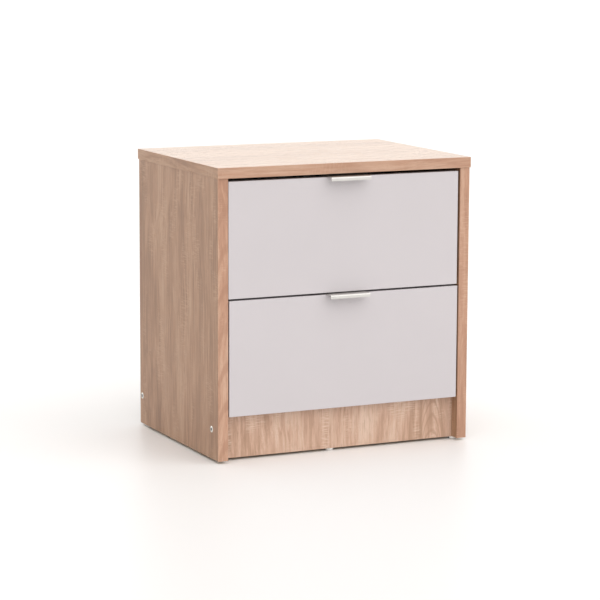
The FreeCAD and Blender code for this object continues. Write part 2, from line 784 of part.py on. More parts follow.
def drawer_front(doc, d, name, shift):
    """One drawer front, with its groove, joints and pull screws drilled behind."""
    body = new_body(doc, f"{name}_front")
    outline = rectangle((shift - d.front_wide / 2, 0), (shift + d.front_wide / 2, d.front_tall))
    pad(body, "XZ", d.front_recess, outline, d.front_thick)
    bolts = [(d.wall_centre_x * side, z) for side in SIDES.values() for z in d.front_bolts_z]
    dowels = [(d.wall_centre_x * side, d.front_dowel_z) for side in SIDES.values()]
    drill(body, "XZ", d.front_back_y, -1, bolts, d.bolt_thread_radius, d.bolt_thread_long)
    drill(body, "XZ", d.front_back_y, -1, dowels, d.small_dowel_radius, d.dowel_short_end)
    groove = rectangle((-d.box_inner_x - d.groove_deep, d.base_z),
                       (d.box_inner_x + d.groove_deep, d.base_z + d.base_board))
    mill(body, "XZ", d.front_back_y, -1, groove, d.groove_deep)
    drill(body, "XZ", d.front_back_y, -1, pull_screw_spots(d), d.pull_screw_radius,
          d.pull_screw_long - d.pull_gauge)
    return body


def box_side(doc, d, name, side_name, side):
    """One side of a drawer box."""
    body = new_body(doc, f"{name}_box_{side_name}")
    outline = rectangle((d.front_back_y, d.box_lift), (d.box_rear_y, d.box_top_z))
    outer, inner = d.box_outer_x * side, d.box_inner_x * side
    pad(body, "YZ", inner, outline, d.box_wall, side)
    centre = d.wall_centre_x * side
    groove = rectangle((d.front_back_y, d.base_z), (d.box_rear_y, d.base_z + d.base_board))
    mill(body, "YZ", inner, side, groove, d.groove_deep)
    # front end and inner face: the cam joints and dowel of the front
    bolts = [(centre, z) for z in d.front_bolts_z]
    drill(body, "XZ", d.front_back_y, 1, bolts, d.small_bolt_hole_radius, d.small_cam_reach)
    drill(body, "XZ", d.front_back_y, 1, [(centre, d.front_dowel_z)], d.small_dowel_radius,
          d.small_dowel_long - d.dowel_short_end)
    cams = [(d.front_back_y + d.small_cam_reach, z) for z in d.front_bolts_z]
    drill(body, "YZ", inner, side, cams, d.small_cam_radius, d.small_cam_thick)
    # outer face: screws into the box back; bottom edge: screws of the runner
    screws = [(d.box_rear_y - d.box_wall / 2, z) for z in d.back_screws_z]
    drill(body, "YZ", outer, -side, screws, d.box_screw_radius, d.box_wall)
    drill(body, "YZ", outer, -side, screws, d.box_screw_head_radius, d.box_screw_head_thick)
    runner = [(centre, y) for y in d.rider_screws_y]
    drill(body, "XY", d.box_lift, 1, runner, d.rider_screw_radius, d.rider_screw_long - d.runner_gauge)
    return body


def box_back(doc, d, name):
    """The back of a drawer box, which stands on its base."""
    body = new_body(doc, f"{name}_box_back")
    outline = rectangle((-d.box_inner_x, d.base_z + d.base_board), (d.box_inner_x, d.box_top_z))
    pad(body, "XZ", d.box_back_y, outline, d.box_wall)
    centre_y = d.box_rear_y - d.box_wall / 2
    screws = [(centre_y, z) for z in d.back_screws_z]
    screw_depth = d.box_screw_long - d.box_wall
    for side in SIDES.values():
        drill(body, "YZ", d.box_inner_x * side, -side, screws, d.box_screw_radius, screw_depth)
    base = [(x, centre_y) for x in d.base_screws_x]
    drill(body, "XY", d.base_z + d.base_board, 1, base, d.box_screw_radius, d.box_screw_long - d.base_board)
    return body


def box_base(doc, d, name):
    """The base of a drawer box, in grooves on three sides and screwed under the back."""
    body = new_body(doc, f"{name}_box_base")
    x = d.box_inner_x + d.groove_deep - d.groove_play
    outline = rectangle((-x, d.front_back_y - d.groove_deep + d.groove_play), (x, d.box_rear_y))
    pad(body, "XY", d.base_z, outline, d.base_board)
    screws = [(x, d.box_rear_y - d.box_wall / 2) for x in d.base_screws_x]
    drill(body, "XY", d.base_z, 1, screws, d.box_screw_radius, d.base_board)
    drill(body, "XY", d.base_z, 1, screws, d.box_screw_head_radius, d.box_screw_head_thick)
    return body


def pull_screw_spots(d):
    """Places of the two screws of a pull, as (X, Z)."""
    height = d.front_tall - d.pull_tail / 2
    return [(d.pull_screw_spread * side, height) for side in SIDES.values()]


def edge_pull(doc, d, name):
    """A bent aluminium strip over the front's top edge: a tail down its back, a plate over the edge and a
    down-turned lip in front for the fingers."""
    body = new_body(doc, f"{name}_pull")
    gauge = d.pull_gauge
    nose = d.front_recess - d.pull_reach
    tail = d.front_back_y + gauge
    plate = d.front_tall
    section = [
        (nose, plate + gauge - d.pull_lip), (nose + gauge, plate + gauge - d.pull_lip), (nose + gauge, plate),
        (d.front_back_y, plate), (d.front_back_y, plate - d.pull_tail), (tail, plate - d.pull_tail),
        (tail, plate + gauge), (nose, plate + gauge),
    ]
    pad(body, "YZ", -d.pull_long / 2, section, d.pull_long)
    top = (plate + gauge).value
    ends = (nose.value, tail.value)

    def outer_bend(centre):
        return abs(centre.z - top) < 0.01 and min(abs(centre.y - end) for end in ends) < 0.01

    def inner_bend(centre):
        return abs(centre.z - plate.value) < 0.01 and abs(centre.y - (nose + gauge).value) < 0.01

    round_edges(doc, body, outer_bend, d.pull_bend)
    round_edges(doc, body, inner_bend, d.pull_bend - gauge)
    drill(body, "XZ", tail, -1, pull_screw_spots(d), d.pull_screw_hole_radius, gauge)
    return body


def drawer_masters(doc, d):
    """The fasteners that both drawers use, one master each."""
    small_bolt = cam_bolt(doc, "small_bolt_master", d.bolt_thread_radius, d.bolt_thread_long,
                          d.small_cam_reach, d.small_cam_bolt_radius, d.small_cam_bolt_head_radius)
    small_cam = cam(doc, "small_cam_master", d.small_cam_radius, d.small_cam_thick, d.box_wall / 2,
                    d.small_cam_hole_radius)
    shoulder = d.rider_web - d.roller_from_side - d.roller_wide - d.roller_side_play / 2
    return {
        "bolt": small_bolt,
        "cam": small_cam,
        "dowel": dowel(doc, "small_dowel_master", d.small_dowel_radius, d.small_dowel_long),
        "box_screw": box_screw(doc, d),
        "pull_screw": pan_screw(doc, "pull_screw_master", d.pull_screw_radius, d.pull_screw_long,
                                d.pull_screw_head_radius, d.pull_screw_head_thick),
        "rider_screw": pan_screw(doc, "rider_screw_master", d.rider_screw_radius, d.rider_screw_long,
                                 d.rider_screw_head_radius, d.rider_screw_head_thick),
        "pin": roller_pin(doc, d, "rider_pin_master", shoulder),
    }


def drawer_fasteners(doc, d, name, masters):
    """The fastener groups and roller pins of one drawer."""
    bolts, cams, dowels, box_screws, rider_screws, pins = [], [], [], [], [], []
    face_y = d.front_back_y
    for side in SIDES.values():
        x = d.wall_centre_x * side
        # the cam's face looks inward and its bolt hole to the front
        cam_turn = Rotation(Vector(0, -1, 0), Vector(0, 0, -side), Vector(-side, 0, 0), "ZXY")
        for z in d.front_bolts_z:
            bolts.append(((x, face_y, z), TO_FRONT))
            cams.append(((d.box_inner_x * side, face_y + d.small_cam_reach, z), cam_turn))
        dowels.append(((x, face_y - d.dowel_short_end, d.front_dowel_z), TO_REAR))
        for z in d.back_screws_z:
            spot = (d.box_outer_x * side, d.box_rear_y - d.box_wall / 2, z)
            box_screws.append((spot, towards_side(side)))
        for y in d.rider_screws_y:
            spot = (x, y, d.box_lift - d.runner_gauge)
            rider_screws.append((spot, Rotation(Vector(1, 0, 0), 180)))
        pins.append(((d.from_side(side, d.rider_web), d.rider_roller_y, d.rider_roller_z), towards_side(side)))
    for x in d.base_screws_x:
        spot = (x, d.box_rear_y - d.box_wall / 2, d.base_z)
        box_screws.append((spot, Rotation(Vector(1, 0, 0), 180)))
    pulls = [((x, face_y + d.pull_gauge, z), TO_REAR) for x, z in pull_screw_spots(d)]
    return [
        group(doc, f"{name}_cam_bolts", masters["bolt"], bolts),
        group(doc, f"{name}_cams", masters["cam"], cams),
        group(doc, f"{name}_dowels", masters["dowel"], dowels),
        group(doc, f"{name}_box_screws", masters["box_screw"], box_screws),
        group(doc, f"{name}_runner_screws", masters["rider_screw"], rider_screws),
        group(doc, f"{name}_runner_pins", masters["pin"], pins),
        group(doc, f"{name}_pull_screws", masters["pull_screw"], pulls),
    ]


def drawer(doc, d, name, base, shift, masters):
    """One whole drawer with its halves of the runners."""
    parts = [drawer_front(doc, d, name, shift), box_back(doc, d, name), box_base(doc, d, name)]
    parts.append(edge_pull(doc, d, name))
    for side_name, side in SIDES.items():
        parts.append(box_side(doc, d, name, side_name, side))
        parts.append(rider(doc, d, name, side_name, side))
    parts += drawer_fasteners(doc, d, name, masters)
    nodes = [drawer_place(part, d, base) for part in parts]
    for side_name, side in SIDES.items():
        wheel = roller(doc, d, f"{name}_runner_roller_{side_name}")
        spot = (d.from_side(side, d.roller_from_side), d.frame_y + d.rider_roller_y, base + d.rider_roller_z)
        nodes.append(put(wheel, spot, away_from_side(side)))
    return nodes


# ---------------------------------------------------------------- assembly


def cabinet_place(node, d):
    """Places a cabinet piece in the frame."""
    return put(node, (0, d.frame_y, 0))


def drawer_place(node, d, base):
    """Places a piece drawn from its drawer front's bottom edge in the frame."""
    return put(node, (0, d.frame_y, base))


def check(doc, nodes):
    """Stops the build if any object failed or any piece has no valid solid."""
    for item in doc.Objects:
        if {"Invalid", "Error"} & set(item.State):
            raise RuntimeError(f"{item.Label} failed: {item.State}")
    for node in nodes:
        if node.Shape.isNull() or not node.Shape.isValid() or not node.Shape.Solids:
            raise RuntimeError(f"{node.Label} has no valid shape")


def main():
    """Builds every piece and writes one STEP file for each node."""
    doc = FreeCAD.newDocument("nightstand")
    d = Layout(make_sheet(doc))
    boards = [top_panel(doc, d), top_edging(doc, d), side_edging(doc, d), plinth_front(doc, d),
              plinth_rear(doc, d), back_panel(doc, d)]
    boards += [side_panel(doc, d, name, side) for name, side in SIDES.items()]
    fasteners = top_fasteners(doc, d) + [side_screws(doc, d), back_nails(doc, d), glides(doc, d)]
    nodes = [cabinet_place(node, d) for node in boards + fasteners]
    nodes += cabinet_runners(doc, d)
    masters = drawer_masters(doc, d)
    for name, base, shift in d.drawers():
        nodes += drawer(doc, d, name, base, shift, masters)
    doc.recompute()
    check(doc, nodes)
    os.makedirs("parts", exist_ok=True)
    for node in nodes:
        node.Shape.exportStep(f"parts/{node.Label}.step")
        box = node.Shape.BoundBox
        low = f"{box.XMin:9.2f}{box.YMin:9.2f}{box.ZMin:9.2f}"
        high = f"{box.XMax:9.2f}{box.YMax:9.2f}{box.ZMax:9.2f}"
        print(f"{node.Label:30s}{len(node.Shape.Solids):3d}{low} to{high}")
    print(len(nodes), "nodes")


main()
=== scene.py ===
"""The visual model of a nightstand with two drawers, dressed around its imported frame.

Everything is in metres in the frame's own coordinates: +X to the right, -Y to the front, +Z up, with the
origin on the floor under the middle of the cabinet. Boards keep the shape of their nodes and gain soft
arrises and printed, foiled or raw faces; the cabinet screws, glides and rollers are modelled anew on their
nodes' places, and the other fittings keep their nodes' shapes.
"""

import logging
import math
from collections.abc import Callable, Sequence
from dataclasses import dataclass, field
from enum import Enum

import bmesh
import bpy
from mathutils import Matrix, Vector


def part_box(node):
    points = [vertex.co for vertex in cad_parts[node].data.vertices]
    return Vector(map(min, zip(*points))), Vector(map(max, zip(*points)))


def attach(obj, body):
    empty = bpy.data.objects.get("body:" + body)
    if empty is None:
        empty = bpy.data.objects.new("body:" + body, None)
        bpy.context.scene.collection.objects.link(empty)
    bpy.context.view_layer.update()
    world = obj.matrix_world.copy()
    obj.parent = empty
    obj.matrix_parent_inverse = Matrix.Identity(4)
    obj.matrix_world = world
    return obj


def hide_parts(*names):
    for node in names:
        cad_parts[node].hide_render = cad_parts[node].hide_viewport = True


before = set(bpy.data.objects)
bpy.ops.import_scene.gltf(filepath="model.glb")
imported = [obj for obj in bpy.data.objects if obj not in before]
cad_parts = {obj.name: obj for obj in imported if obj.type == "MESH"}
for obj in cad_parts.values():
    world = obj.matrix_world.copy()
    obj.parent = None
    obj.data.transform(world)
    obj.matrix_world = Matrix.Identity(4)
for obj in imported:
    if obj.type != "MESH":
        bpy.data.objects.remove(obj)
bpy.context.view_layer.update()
LOG = logging.getLogger("nightstand")

MILLIMETRE = 0.001
SMOOTH_ANGLE = math.radians(35)
SHARP_ANGLE = math.radians(30)
BENT_ANGLE = math.radians(60)
Socket = bpy.types.NodeSocket
NodeTree = bpy.types.NodeTree
Node = bpy.types.Node
Material = bpy.types.Material
Mesh = bmesh.types.BMesh
Colour = tuple[float, float, float]
Triple = tuple[float, float, float]


class Side(Enum):
    """One side of the cabinet, with the sign of its X."""

    LEFT = -1
    RIGHT = 1

    @property
    def word(self) -> str:
        """The side's name as the nodes spell it."""
        return self.name.lower()


class Grain(Enum):
    """The way the printed grain runs, with the turn that brings it upright for the shared grain group."""

    UPRIGHT = (0.0, 0.0, 0.0)
    ACROSS = (0.0, math.pi / 2, 0.0)
    TO_REAR = (math.pi / 2, 0.0, 0.0)


# ---------------------------------------------------------------- node graphs


class Graph:
    """Adds and joins nodes in one shader node tree."""

    def __init__(self, tree: NodeTree) -> None:
        """Keeps the tree that the nodes go into.

        Args:
            tree: A material's or a group's node tree.
        """
        self.tree = tree

    def node(self, kind: str, **settings: object) -> Node:
        """Adds one node.

        Args:
            kind: The node's type name.
            settings: Properties to set on it.

        Returns:
            The new node.
        """
        made = self.tree.nodes.new(kind)
        for name, value in settings.items():
            setattr(made, name, value)
        return made

    def feed(self, socket: Socket, value: object) -> None:
        """Joins an output to an input, or sets the input's own value.

        Args:
            socket: The input socket.
            value: An output socket, or a plain value.
        """
        if isinstance(value, Socket):
            self.tree.links.new(value, socket)
        else:
            socket.default_value = value

    def math(self, operation: str, first: object, second: object = 0.0) -> Socket:
        """Adds a Math node and returns its value.

        Args:
            operation: The operation's name.
            first: The first input, a socket or a number.
            second: The second input.

        Returns:
            The node's output.
        """
        made = self.node("ShaderNodeMath", operation=operation)
        self.feed(made.inputs[0], first)
        self.feed(made.inputs[1], second)
        return made.outputs[0]

    def blend(self, share: object, first: object, second: object) -> Socket:
        """Mixes two colours.

        Args:
            share: How much of the second colour shows, from 0 to 1.
            first: The first colour, a socket or a colour.
            second: The second colour.

        Returns:
            The mixed colour.
        """
        made = self.node("ShaderNodeMix", data_type="RGBA")
        self.feed(made.inputs["Factor"], share)
        for socket, colour in zip((made.inputs[6], made.inputs[7]), (first, second)):
            self.feed(socket, colour if isinstance(colour, Socket) else (*colour, 1.0))
        return made.outputs[2]

    def span(self, value: object, low: float, high: float, start: float = 0.0,
             end: float = 1.0) -> Socket:
        """Maps a value from one range smoothly to another.

        Args:
            value: The value.
            low: The value that becomes start.
            high: The value that becomes end.
            start: The result at low.
            end: The result at high.

        Returns:
            The mapped value.
        """
        made = self.node("ShaderNodeMapRange", interpolation_type="SMOOTHSTEP")
        for socket, number in zip(made.inputs, (value, low, high, start, end)):
            self.feed(socket, number)
        return made.outputs[0]

    def scaled(self, place: object, scale: Triple, turn: Triple = (0, 0, 0),
               move: Triple = (0, 0, 0)) -> Socket:
        """Moves, turns and scales a position.

        Args:
            place: The position.
            scale: The factor along each axis, used last.
            turn: The turn about each axis.
            move: The shift.

        Returns:
            The new position.
        """
        made = self.node("ShaderNodeMapping")
        self.feed(made.inputs["Vector"], place)
        made.inputs["Location"].default_value = move
        made.inputs["Rotation"].default_value = turn
        made.inputs["Scale"].default_value = scale
        return made.outputs[0]

    def noise(self, place: object, scale: object, detail: float = 2.0, roughness: float = 0.5) -> Socket:
        """Adds a noise texture and returns its value.

        Args:
            place: Where it is read.
            scale: Its frequency.
            detail: How many octaves it has.
            roughness: How strong the finer octaves are.

        Returns:
            The noise, from 0 to 1 about 0.5.
        """
        made = self.node("ShaderNodeTexNoise")
        inputs = {"Vector": place, "Scale": scale, "Detail": detail, "Roughness": roughness}
        for name, value in inputs.items():
            self.feed(made.inputs[name], value)
        return made.outputs["Fac"]

    def stretched(self, place: object, across: float, along: float, detail: float = 2.0,
                  roughness: float = 0.5) -> Socket:
        """Adds a noise texture drawn out along Z, as grain is.

        Args:
            place: Where it is read.
            across: Its frequency along X and Y.
            along: Its frequency along Z.
            detail: How many octaves it has.
            roughness: How strong the finer octaves are.

        Returns:
            The noise, from 0 to 1 about 0.5.
        """
        return self.noise(self.scaled(place, (across, across, along)), 1.0, detail, roughness)

    def ramp(self, value: object, stops: Sequence[tuple[float, Colour]]) -> Socket:
        """Turns a value into a colour along a ramp.

        Args:
            value: The value, from 0 to 1.
            stops: The ramp's places and colours, in order.

        Returns:
            The colour.
        """
        made = self.node("ShaderNodeValToRGB")
        elements = made.color_ramp.elements
        while len(elements) < len(stops):
            elements.new(1.0)
        for element, (place, colour) in zip(elements, stops):
            element.position = place
            element.color = (*colour, 1.0)
        self.feed(made.inputs[0], value)
        return made.outputs[0]

    def group(self, tree: NodeTree, **inputs: object) -> Node:
        """Places a shared group.

        Args:
            tree: The group's tree.
            inputs: A value or socket for each input, its spaces written as underscores.

        Returns:
            The group's node.
        """
        made = self.node("ShaderNodeGroup", node_tree=tree)
        for name, value in inputs.items():
            self.feed(made.inputs[name.replace("_", " ")], value)
        return made


class SharedGroup:
    """A shader node group that several finishes use, built once."""

    made: dict[str, NodeTree] = {}

    @classmethod
    def get(cls, name: str, inputs: dict[str, str], outputs: Sequence[str],
            build: Callable[[Graph, Node], dict[str, object]]) -> NodeTree:
        """Returns the named group, building it the first time.

        Args:
            name: The group's name.
            inputs: Each input's name and kind, "vector" or "float".
            outputs: The names of the outputs, all values.
            build: Adds the group's nodes and returns a socket for each output.

        Returns:
            The group's node tree.
        """
        if name in cls.made:
            return cls.made[name]
        tree = bpy.data.node_groups.new(name, "ShaderNodeTree")
        kinds = {"vector": "NodeSocketVector", "float": "NodeSocketFloat"}
        for label, kind in inputs.items():
            tree.interface.new_socket(label, in_out="INPUT", socket_type=kinds[kind])
        for label in outputs:
            tree.interface.new_socket(label, in_out="OUTPUT", socket_type="NodeSocketFloat")
        graph = Graph(tree)
        source = graph.node("NodeGroupInput")
        sink = graph.node("NodeGroupOutput")
        for label, socket in build(graph, source).items():
            graph.feed(sink.inputs[label], socket)
        cls.made[name] = tree
        return tree


def grain_group() -> NodeTree:
    """The printed oak figure, with its grain along Z.

    Returns:
        A group with the broad tone, the fine lines, the pores and the faint cross saw marks.
    """

    def build(graph: Graph, source: Node) -> dict[str, object]:
        """Adds the nodes of the grain.

        Args:
            graph: The group's graph.
            source: The group's input node.

        Returns:
            A socket for each output.
        """
        place = source.outputs["Place"]
        slow = graph.math("SUBTRACT", graph.stretched(place, 5.0, 3.2), 0.5)
        quick = graph.math("SUBTRACT", graph.stretched(place, 45.0, 16.0), 0.5)
        sway = graph.math("ADD", graph.math("MULTIPLY", slow, 0.045), graph.math("MULTIPLY", quick, 0.0045))
        drift = graph.node("ShaderNodeCombineXYZ")
        graph.feed(drift.inputs[0], sway)
        graph.feed(drift.inputs[1], sway)
        moved = graph.node("ShaderNodeVectorMath", operation="ADD")
        graph.feed(moved.inputs[0], place)
        graph.feed(moved.inputs[1], drift.outputs[0])
        swayed = moved.outputs[0]
        broad = graph.stretched(swayed, 30.0, 3.0, 3.0, 0.6)
        middle = graph.stretched(swayed, 210.0, 10.0, 3.0, 0.6)
        streak = graph.span(graph.stretched(swayed, 330.0, 19.0), 0.56, 0.70)
        fine = graph.stretched(swayed, 800.0, 36.0, 3.0, 0.6)
        pore = graph.stretched(swayed, 1700.0, 90.0)
        pores = graph.span(pore, 0.58, 0.68)
        patch = graph.span(graph.stretched(place, 30.0, 13.0, 3.0), 0.50, 0.64)
        line = graph.span(graph.stretched(place, 64.0, 620.0), 0.46, 0.62)
        tone = graph.math("ADD", graph.math("MULTIPLY", broad, 0.5), graph.math("MULTIPLY", middle, 0.5))
        saw = graph.math("MULTIPLY", patch, line)
        return {"Tone": tone, "Streaks": streak, "Lines": fine, "Pores": pores, "Saw": saw}

    outputs = ("Tone", "Streaks", "Lines", "Pores", "Saw")
    return SharedGroup.get("printed_grain", {"Place": "vector"}, outputs, build)


def flame_group() -> NodeTree:
    """The arched figure of a plain-sawn board, with its grain along Z.

    Returns:
        A group whose output is the dark line of each nested arch, fading away from the figure's middle.
    """

    def build(graph: Graph, source: Node) -> dict[str, object]:
        """Adds the nodes of the arches.

        Args:
            graph: The group's graph.
            source: The group's input node.

        Returns:
            A socket for each output.
        """
        parts = graph.node("ShaderNodeSeparateXYZ")
        graph.feed(parts.inputs[0], source.outputs["Place"])
        wobble = graph.stretched(source.outputs["Place"], 40.0, 12.0)
        across = graph.math("DIVIDE", parts.outputs["X"], source.outputs["Half width"])
        bowl = graph.math("MULTIPLY", across, across)
        along = graph.math("DIVIDE", parts.outputs["Z"], source.outputs["Reach"])
        level = graph.math("ADD", graph.math("ADD", along, bowl), graph.math("MULTIPLY", wobble, 0.5))
        wave = graph.math("SINE", graph.math("MULTIPLY", level, source.outputs["Rings"]))
        line = graph.span(wave, 0.35, 1.0)
        fade = graph.span(bowl, 0.6, 1.6, 1.0, 0.0)
        return {"Arches": graph.math("MULTIPLY", line, fade)}

    inputs = {"Place": "vector", "Half width": "float", "Reach": "float", "Rings": "float"}
    return SharedGroup.get("flame_figure", inputs, ("Arches",), build)


def rub_group() -> NodeTree:
    """Lighter arrises from a board's corners: worn edges on most finishes, a painted highlight line on the
    grey foil fronts.

    Returns:
        A group whose output is 1 on an arris, in patches, and 0 a width away from it.
    """

    def build(graph: Graph, source: Node) -> dict[str, object]:
        """Adds the nodes of the lighter arrises.

        Args:
            graph: The group's graph.
            source: The group's input node.

        Returns:
            A socket for each output.
        """

        def difference(first: str, second: str) -> Socket:
            """The vector from the second input to the first.

            Args:
                first: The name of the first input.
                second: The name of the second input.

            Returns:
                The difference.
            """
            made = graph.node("ShaderNodeVectorMath", operation="SUBTRACT")
            graph.feed(made.inputs[0], source.outputs[first])
            graph.feed(made.inputs[1], source.outputs[second])
            return made.outputs[0]

        nearest = graph.node("ShaderNodeVectorMath", operation="MINIMUM")
        graph.feed(nearest.inputs[0], difference("Place", "Low"))
        graph.feed(nearest.inputs[1], difference("High", "Place"))
        parts = graph.node("ShaderNodeSeparateXYZ")
        graph.feed(parts.inputs[0], nearest.outputs[0])
        x, y, z = parts.outputs
        middle = graph.math("MAXIMUM", graph.math("MINIMUM", x, y),
                            graph.math("MINIMUM", graph.math("MAXIMUM", x, y), z))
        share = graph.math("DIVIDE", middle, source.outputs["Width"])
        patchy = graph.span(graph.noise(source.outputs["Place"], 130.0, 3.0), 0.35, 0.65)
        near = graph.span(share, 0.0, 1.0, 1.0, 0.0)
        depth = graph.math("ADD", graph.math("MULTIPLY", patchy, 0.7), 0.3)
        # The mask lightens worn edges and, on the grey foil fronts, paints a highlight line.
        return {"Lighter arris": graph.math("MULTIPLY", near, depth)}

    inputs = {"Place": "vector", "Low": "vector", "High": "vector", "Width": "float"}
    return SharedGroup.get("arris_rub", inputs, ("Lighter arris",), build)


def speckle_group() -> NodeTree:
    """Fine mottling and a faint skin texture for moulded, coated and foiled surfaces.

    Returns:
        A group with a slow mottle and a fine texture.
    """

    def build(graph: Graph, source: Node) -> dict[str, object]:
        """Adds the nodes of the mottle and the skin.

        Args:
            graph: The group's graph.
            source: The group's input node.

        Returns:
            A socket for each output.
        """
        place = source.outputs["Place"]
        mottle = graph.noise(place, source.outputs["Mottle scale"], 3.0)
        skin = graph.noise(place, source.outputs["Skin scale"], 2.0)
        return {"Mottle": mottle, "Skin": skin}

    inputs = {"Place": "vector", "Mottle scale": "float", "Skin scale": "float"}
    return SharedGroup.get("surface_speckle", inputs, ("Mottle", "Skin"), build)


# ---------------------------------------------------------------- finishes


def lighter(colour: Colour, factor: float) -> Colour:
    """A colour made brighter, or darker by a factor under 1, and held at white."""
    return tuple(min(1.0, part * factor) for part in colour)


@dataclass(frozen=True)
class Surface:
    """What every finish has: a name, a roughness and the depth of its relief."""

    name: str
    roughness: float = 0.5
    relief: float = 0.00003

    def start(self) -> tuple[Material, Graph, Node, Socket]:
        """Makes the material and its shader.

        Returns:
            The material, its graph, the shader node and the object position.
        """
        material = bpy.data.materials.new(self.name)
        material.use_nodes = True
        graph = Graph(material.node_tree)
        graph.tree.nodes.clear()
        shader = graph.node("ShaderNodeBsdfPrincipled")
        sink = graph.node("ShaderNodeOutputMaterial")
        graph.feed(sink.inputs["Surface"], shader.outputs["BSDF"])
        place = graph.node("ShaderNodeTexCoord").outputs["Object"]
        return material, graph, shader, place

    def emboss(self, graph: Graph, shader: Node, height: object, strength: float = 1.0) -> None:
        """Gives the shader a relief.

        Args:
            graph: The material's graph.
            shader: The shader node.
            height: The relief's height, from 0 to 1.
            strength: The share of the relief that shows.
        """
        bump = graph.node("ShaderNodeBump")
        bump.inputs["Strength"].default_value = strength
        bump.inputs["Distance"].default_value = self.relief
        graph.feed(bump.inputs["Height"], height)
        graph.feed(shader.inputs["Normal"], bump.outputs["Normal"])

    def rub_arrises(self, graph: Graph, place: object, colour: object, bounds: tuple[Vector, Vector],
                    width: float, share: float, tint: Colour) -> Socket:
        """Blends in lighter arrises: worn edges on most finishes, a painted highlight line on the grey foil
        fronts.

        Args:
            graph: The material's graph.
            place: The object position.
            colour: The colour so far.
            bounds: The piece's lowest and highest corners.
            width: How wide the lighter band is, in metres.
            share: How much of the tint shows where the mask is full.
            tint: The lighter arris colour.

        Returns:
            The colour with its lighter arrises.
        """
        low, high = (tuple(corner) for corner in bounds)
        arris_wear_and_highlight_node = graph.group(rub_group(), Place=place, Low=low, High=high, Width=width)
        return graph.blend(graph.math("MULTIPLY", arris_wear_and_highlight_node.outputs["Lighter arris"], share), colour, tint)

    def vary_roughness(self, graph: Graph, shader: Node, value: object, spread: float) -> None:
        """Lets the roughness follow a value about its middle.

        Args:
            graph: The material's graph.
            shader: The shader node.
            value: The value, from 0 to 1.
            spread: How far the roughness goes to each side.
        """
        low, high = self.roughness - spread, self.roughness + spread
        graph.feed(shader.inputs["Roughness"], graph.span(value, 0.3, 0.7, low, high))


@dataclass(frozen=True)
class FlameFigure:
    """Where a print shows arched figure: its middle, half width, reach and how tight its rings are."""

    middle: Triple
    half_width: float = 0.02
    reach: float = 0.06
    rings: float = 18.0


@dataclass(frozen=True)
class OakPrint(Surface):
    """Pale printed oak on melamine laminate or on edge band."""

    roughness: float = 0.46
    grain: Grain = Grain.UPRIGHT
    shift: Triple = (0.0, 0.0, 0.0)
    dark: Colour = (0.245, 0.127, 0.068)
    middle: Colour = (0.396, 0.222, 0.130)
    light: Colour = (0.484, 0.307, 0.197)
    saw: float = 0.46
    contrast: float = 1.0
    flame: FlameFigure | None = None

    def material(self, low: Vector, high: Vector) -> Material:
        """Builds the finish for one board.

        Args:
            low: The board's lowest corner.
            high: The board's highest corner.

        Returns:
            The material.
        """
        material, graph, shader, place = self.start()
        upright = graph.scaled(place, (1, 1, 1), self.grain.value, self.shift)
        grain = graph.group(grain_group(), Place=upright)
        spread = 0.5 / self.contrast
        tone = graph.span(grain.outputs["Tone"], 0.5 - spread * 0.36, 0.5 + spread * 0.36)
        colour = graph.ramp(tone, ((0.0, self.dark), (0.5, self.middle), (1.0, self.light)))
        cool = tuple(part * tint for part, tint in zip(self.middle, (0.95, 0.98, 1.0)))
        hue = graph.span(graph.stretched(upright, 14.0, 1.2), 0.35, 0.65, 0.0, 0.25)
        colour = graph.blend(hue, colour, cool)
        lines = graph.span(grain.outputs["Lines"], 0.36, 0.60, 0.24 * self.contrast, 0.0)
        colour = graph.blend(lines, colour, self.dark)
        streaks = graph.math("MULTIPLY", grain.outputs["Streaks"], 0.42 * self.contrast)
        colour = graph.blend(streaks, colour, self.dark)
        pores = graph.math("MULTIPLY", grain.outputs["Pores"], 0.3 * self.contrast)
        colour = graph.blend(pores, colour, lighter(self.dark, 0.6))
        saw = graph.math("MULTIPLY", grain.outputs["Saw"], self.saw)
        colour = graph.blend(saw, colour, self.light)
        if self.flame:
            colour = self.add_flame(graph, place, colour)
        colour = self.rub_arrises(graph, place, colour, (low, high), 0.0011, 0.35,
                                  lighter(self.light, 1.25))
        graph.feed(shader.inputs["Base Color"], colour)
        self.vary_roughness(graph, shader, grain.outputs["Lines"], 0.05)
        raised = graph.math("MULTIPLY", grain.outputs["Lines"], 0.6)
        height = graph.math("SUBTRACT", raised, grain.outputs["Pores"])
        self.emboss(graph, shader, height, 0.5)
        return material

    def add_flame(self, graph: Graph, place: object, colour: object) -> Socket:
        """Darkens the arches of the flame figure.

        Args:
            graph: The material's graph.
            place: The object position.
            colour: The colour so far.

        Returns:
            The darkened colour.
        """
        centred = graph.scaled(place, (1, 1, 1), (0, 0, 0), tuple(-part for part in self.flame.middle))
        figure = graph.group(flame_group(), Place=centred, Half_width=self.flame.half_width,
                             Reach=self.flame.reach, Rings=self.flame.rings)
        share = graph.math("MULTIPLY", figure.outputs["Arches"], 0.55)
        return graph.blend(share, colour, self.dark)


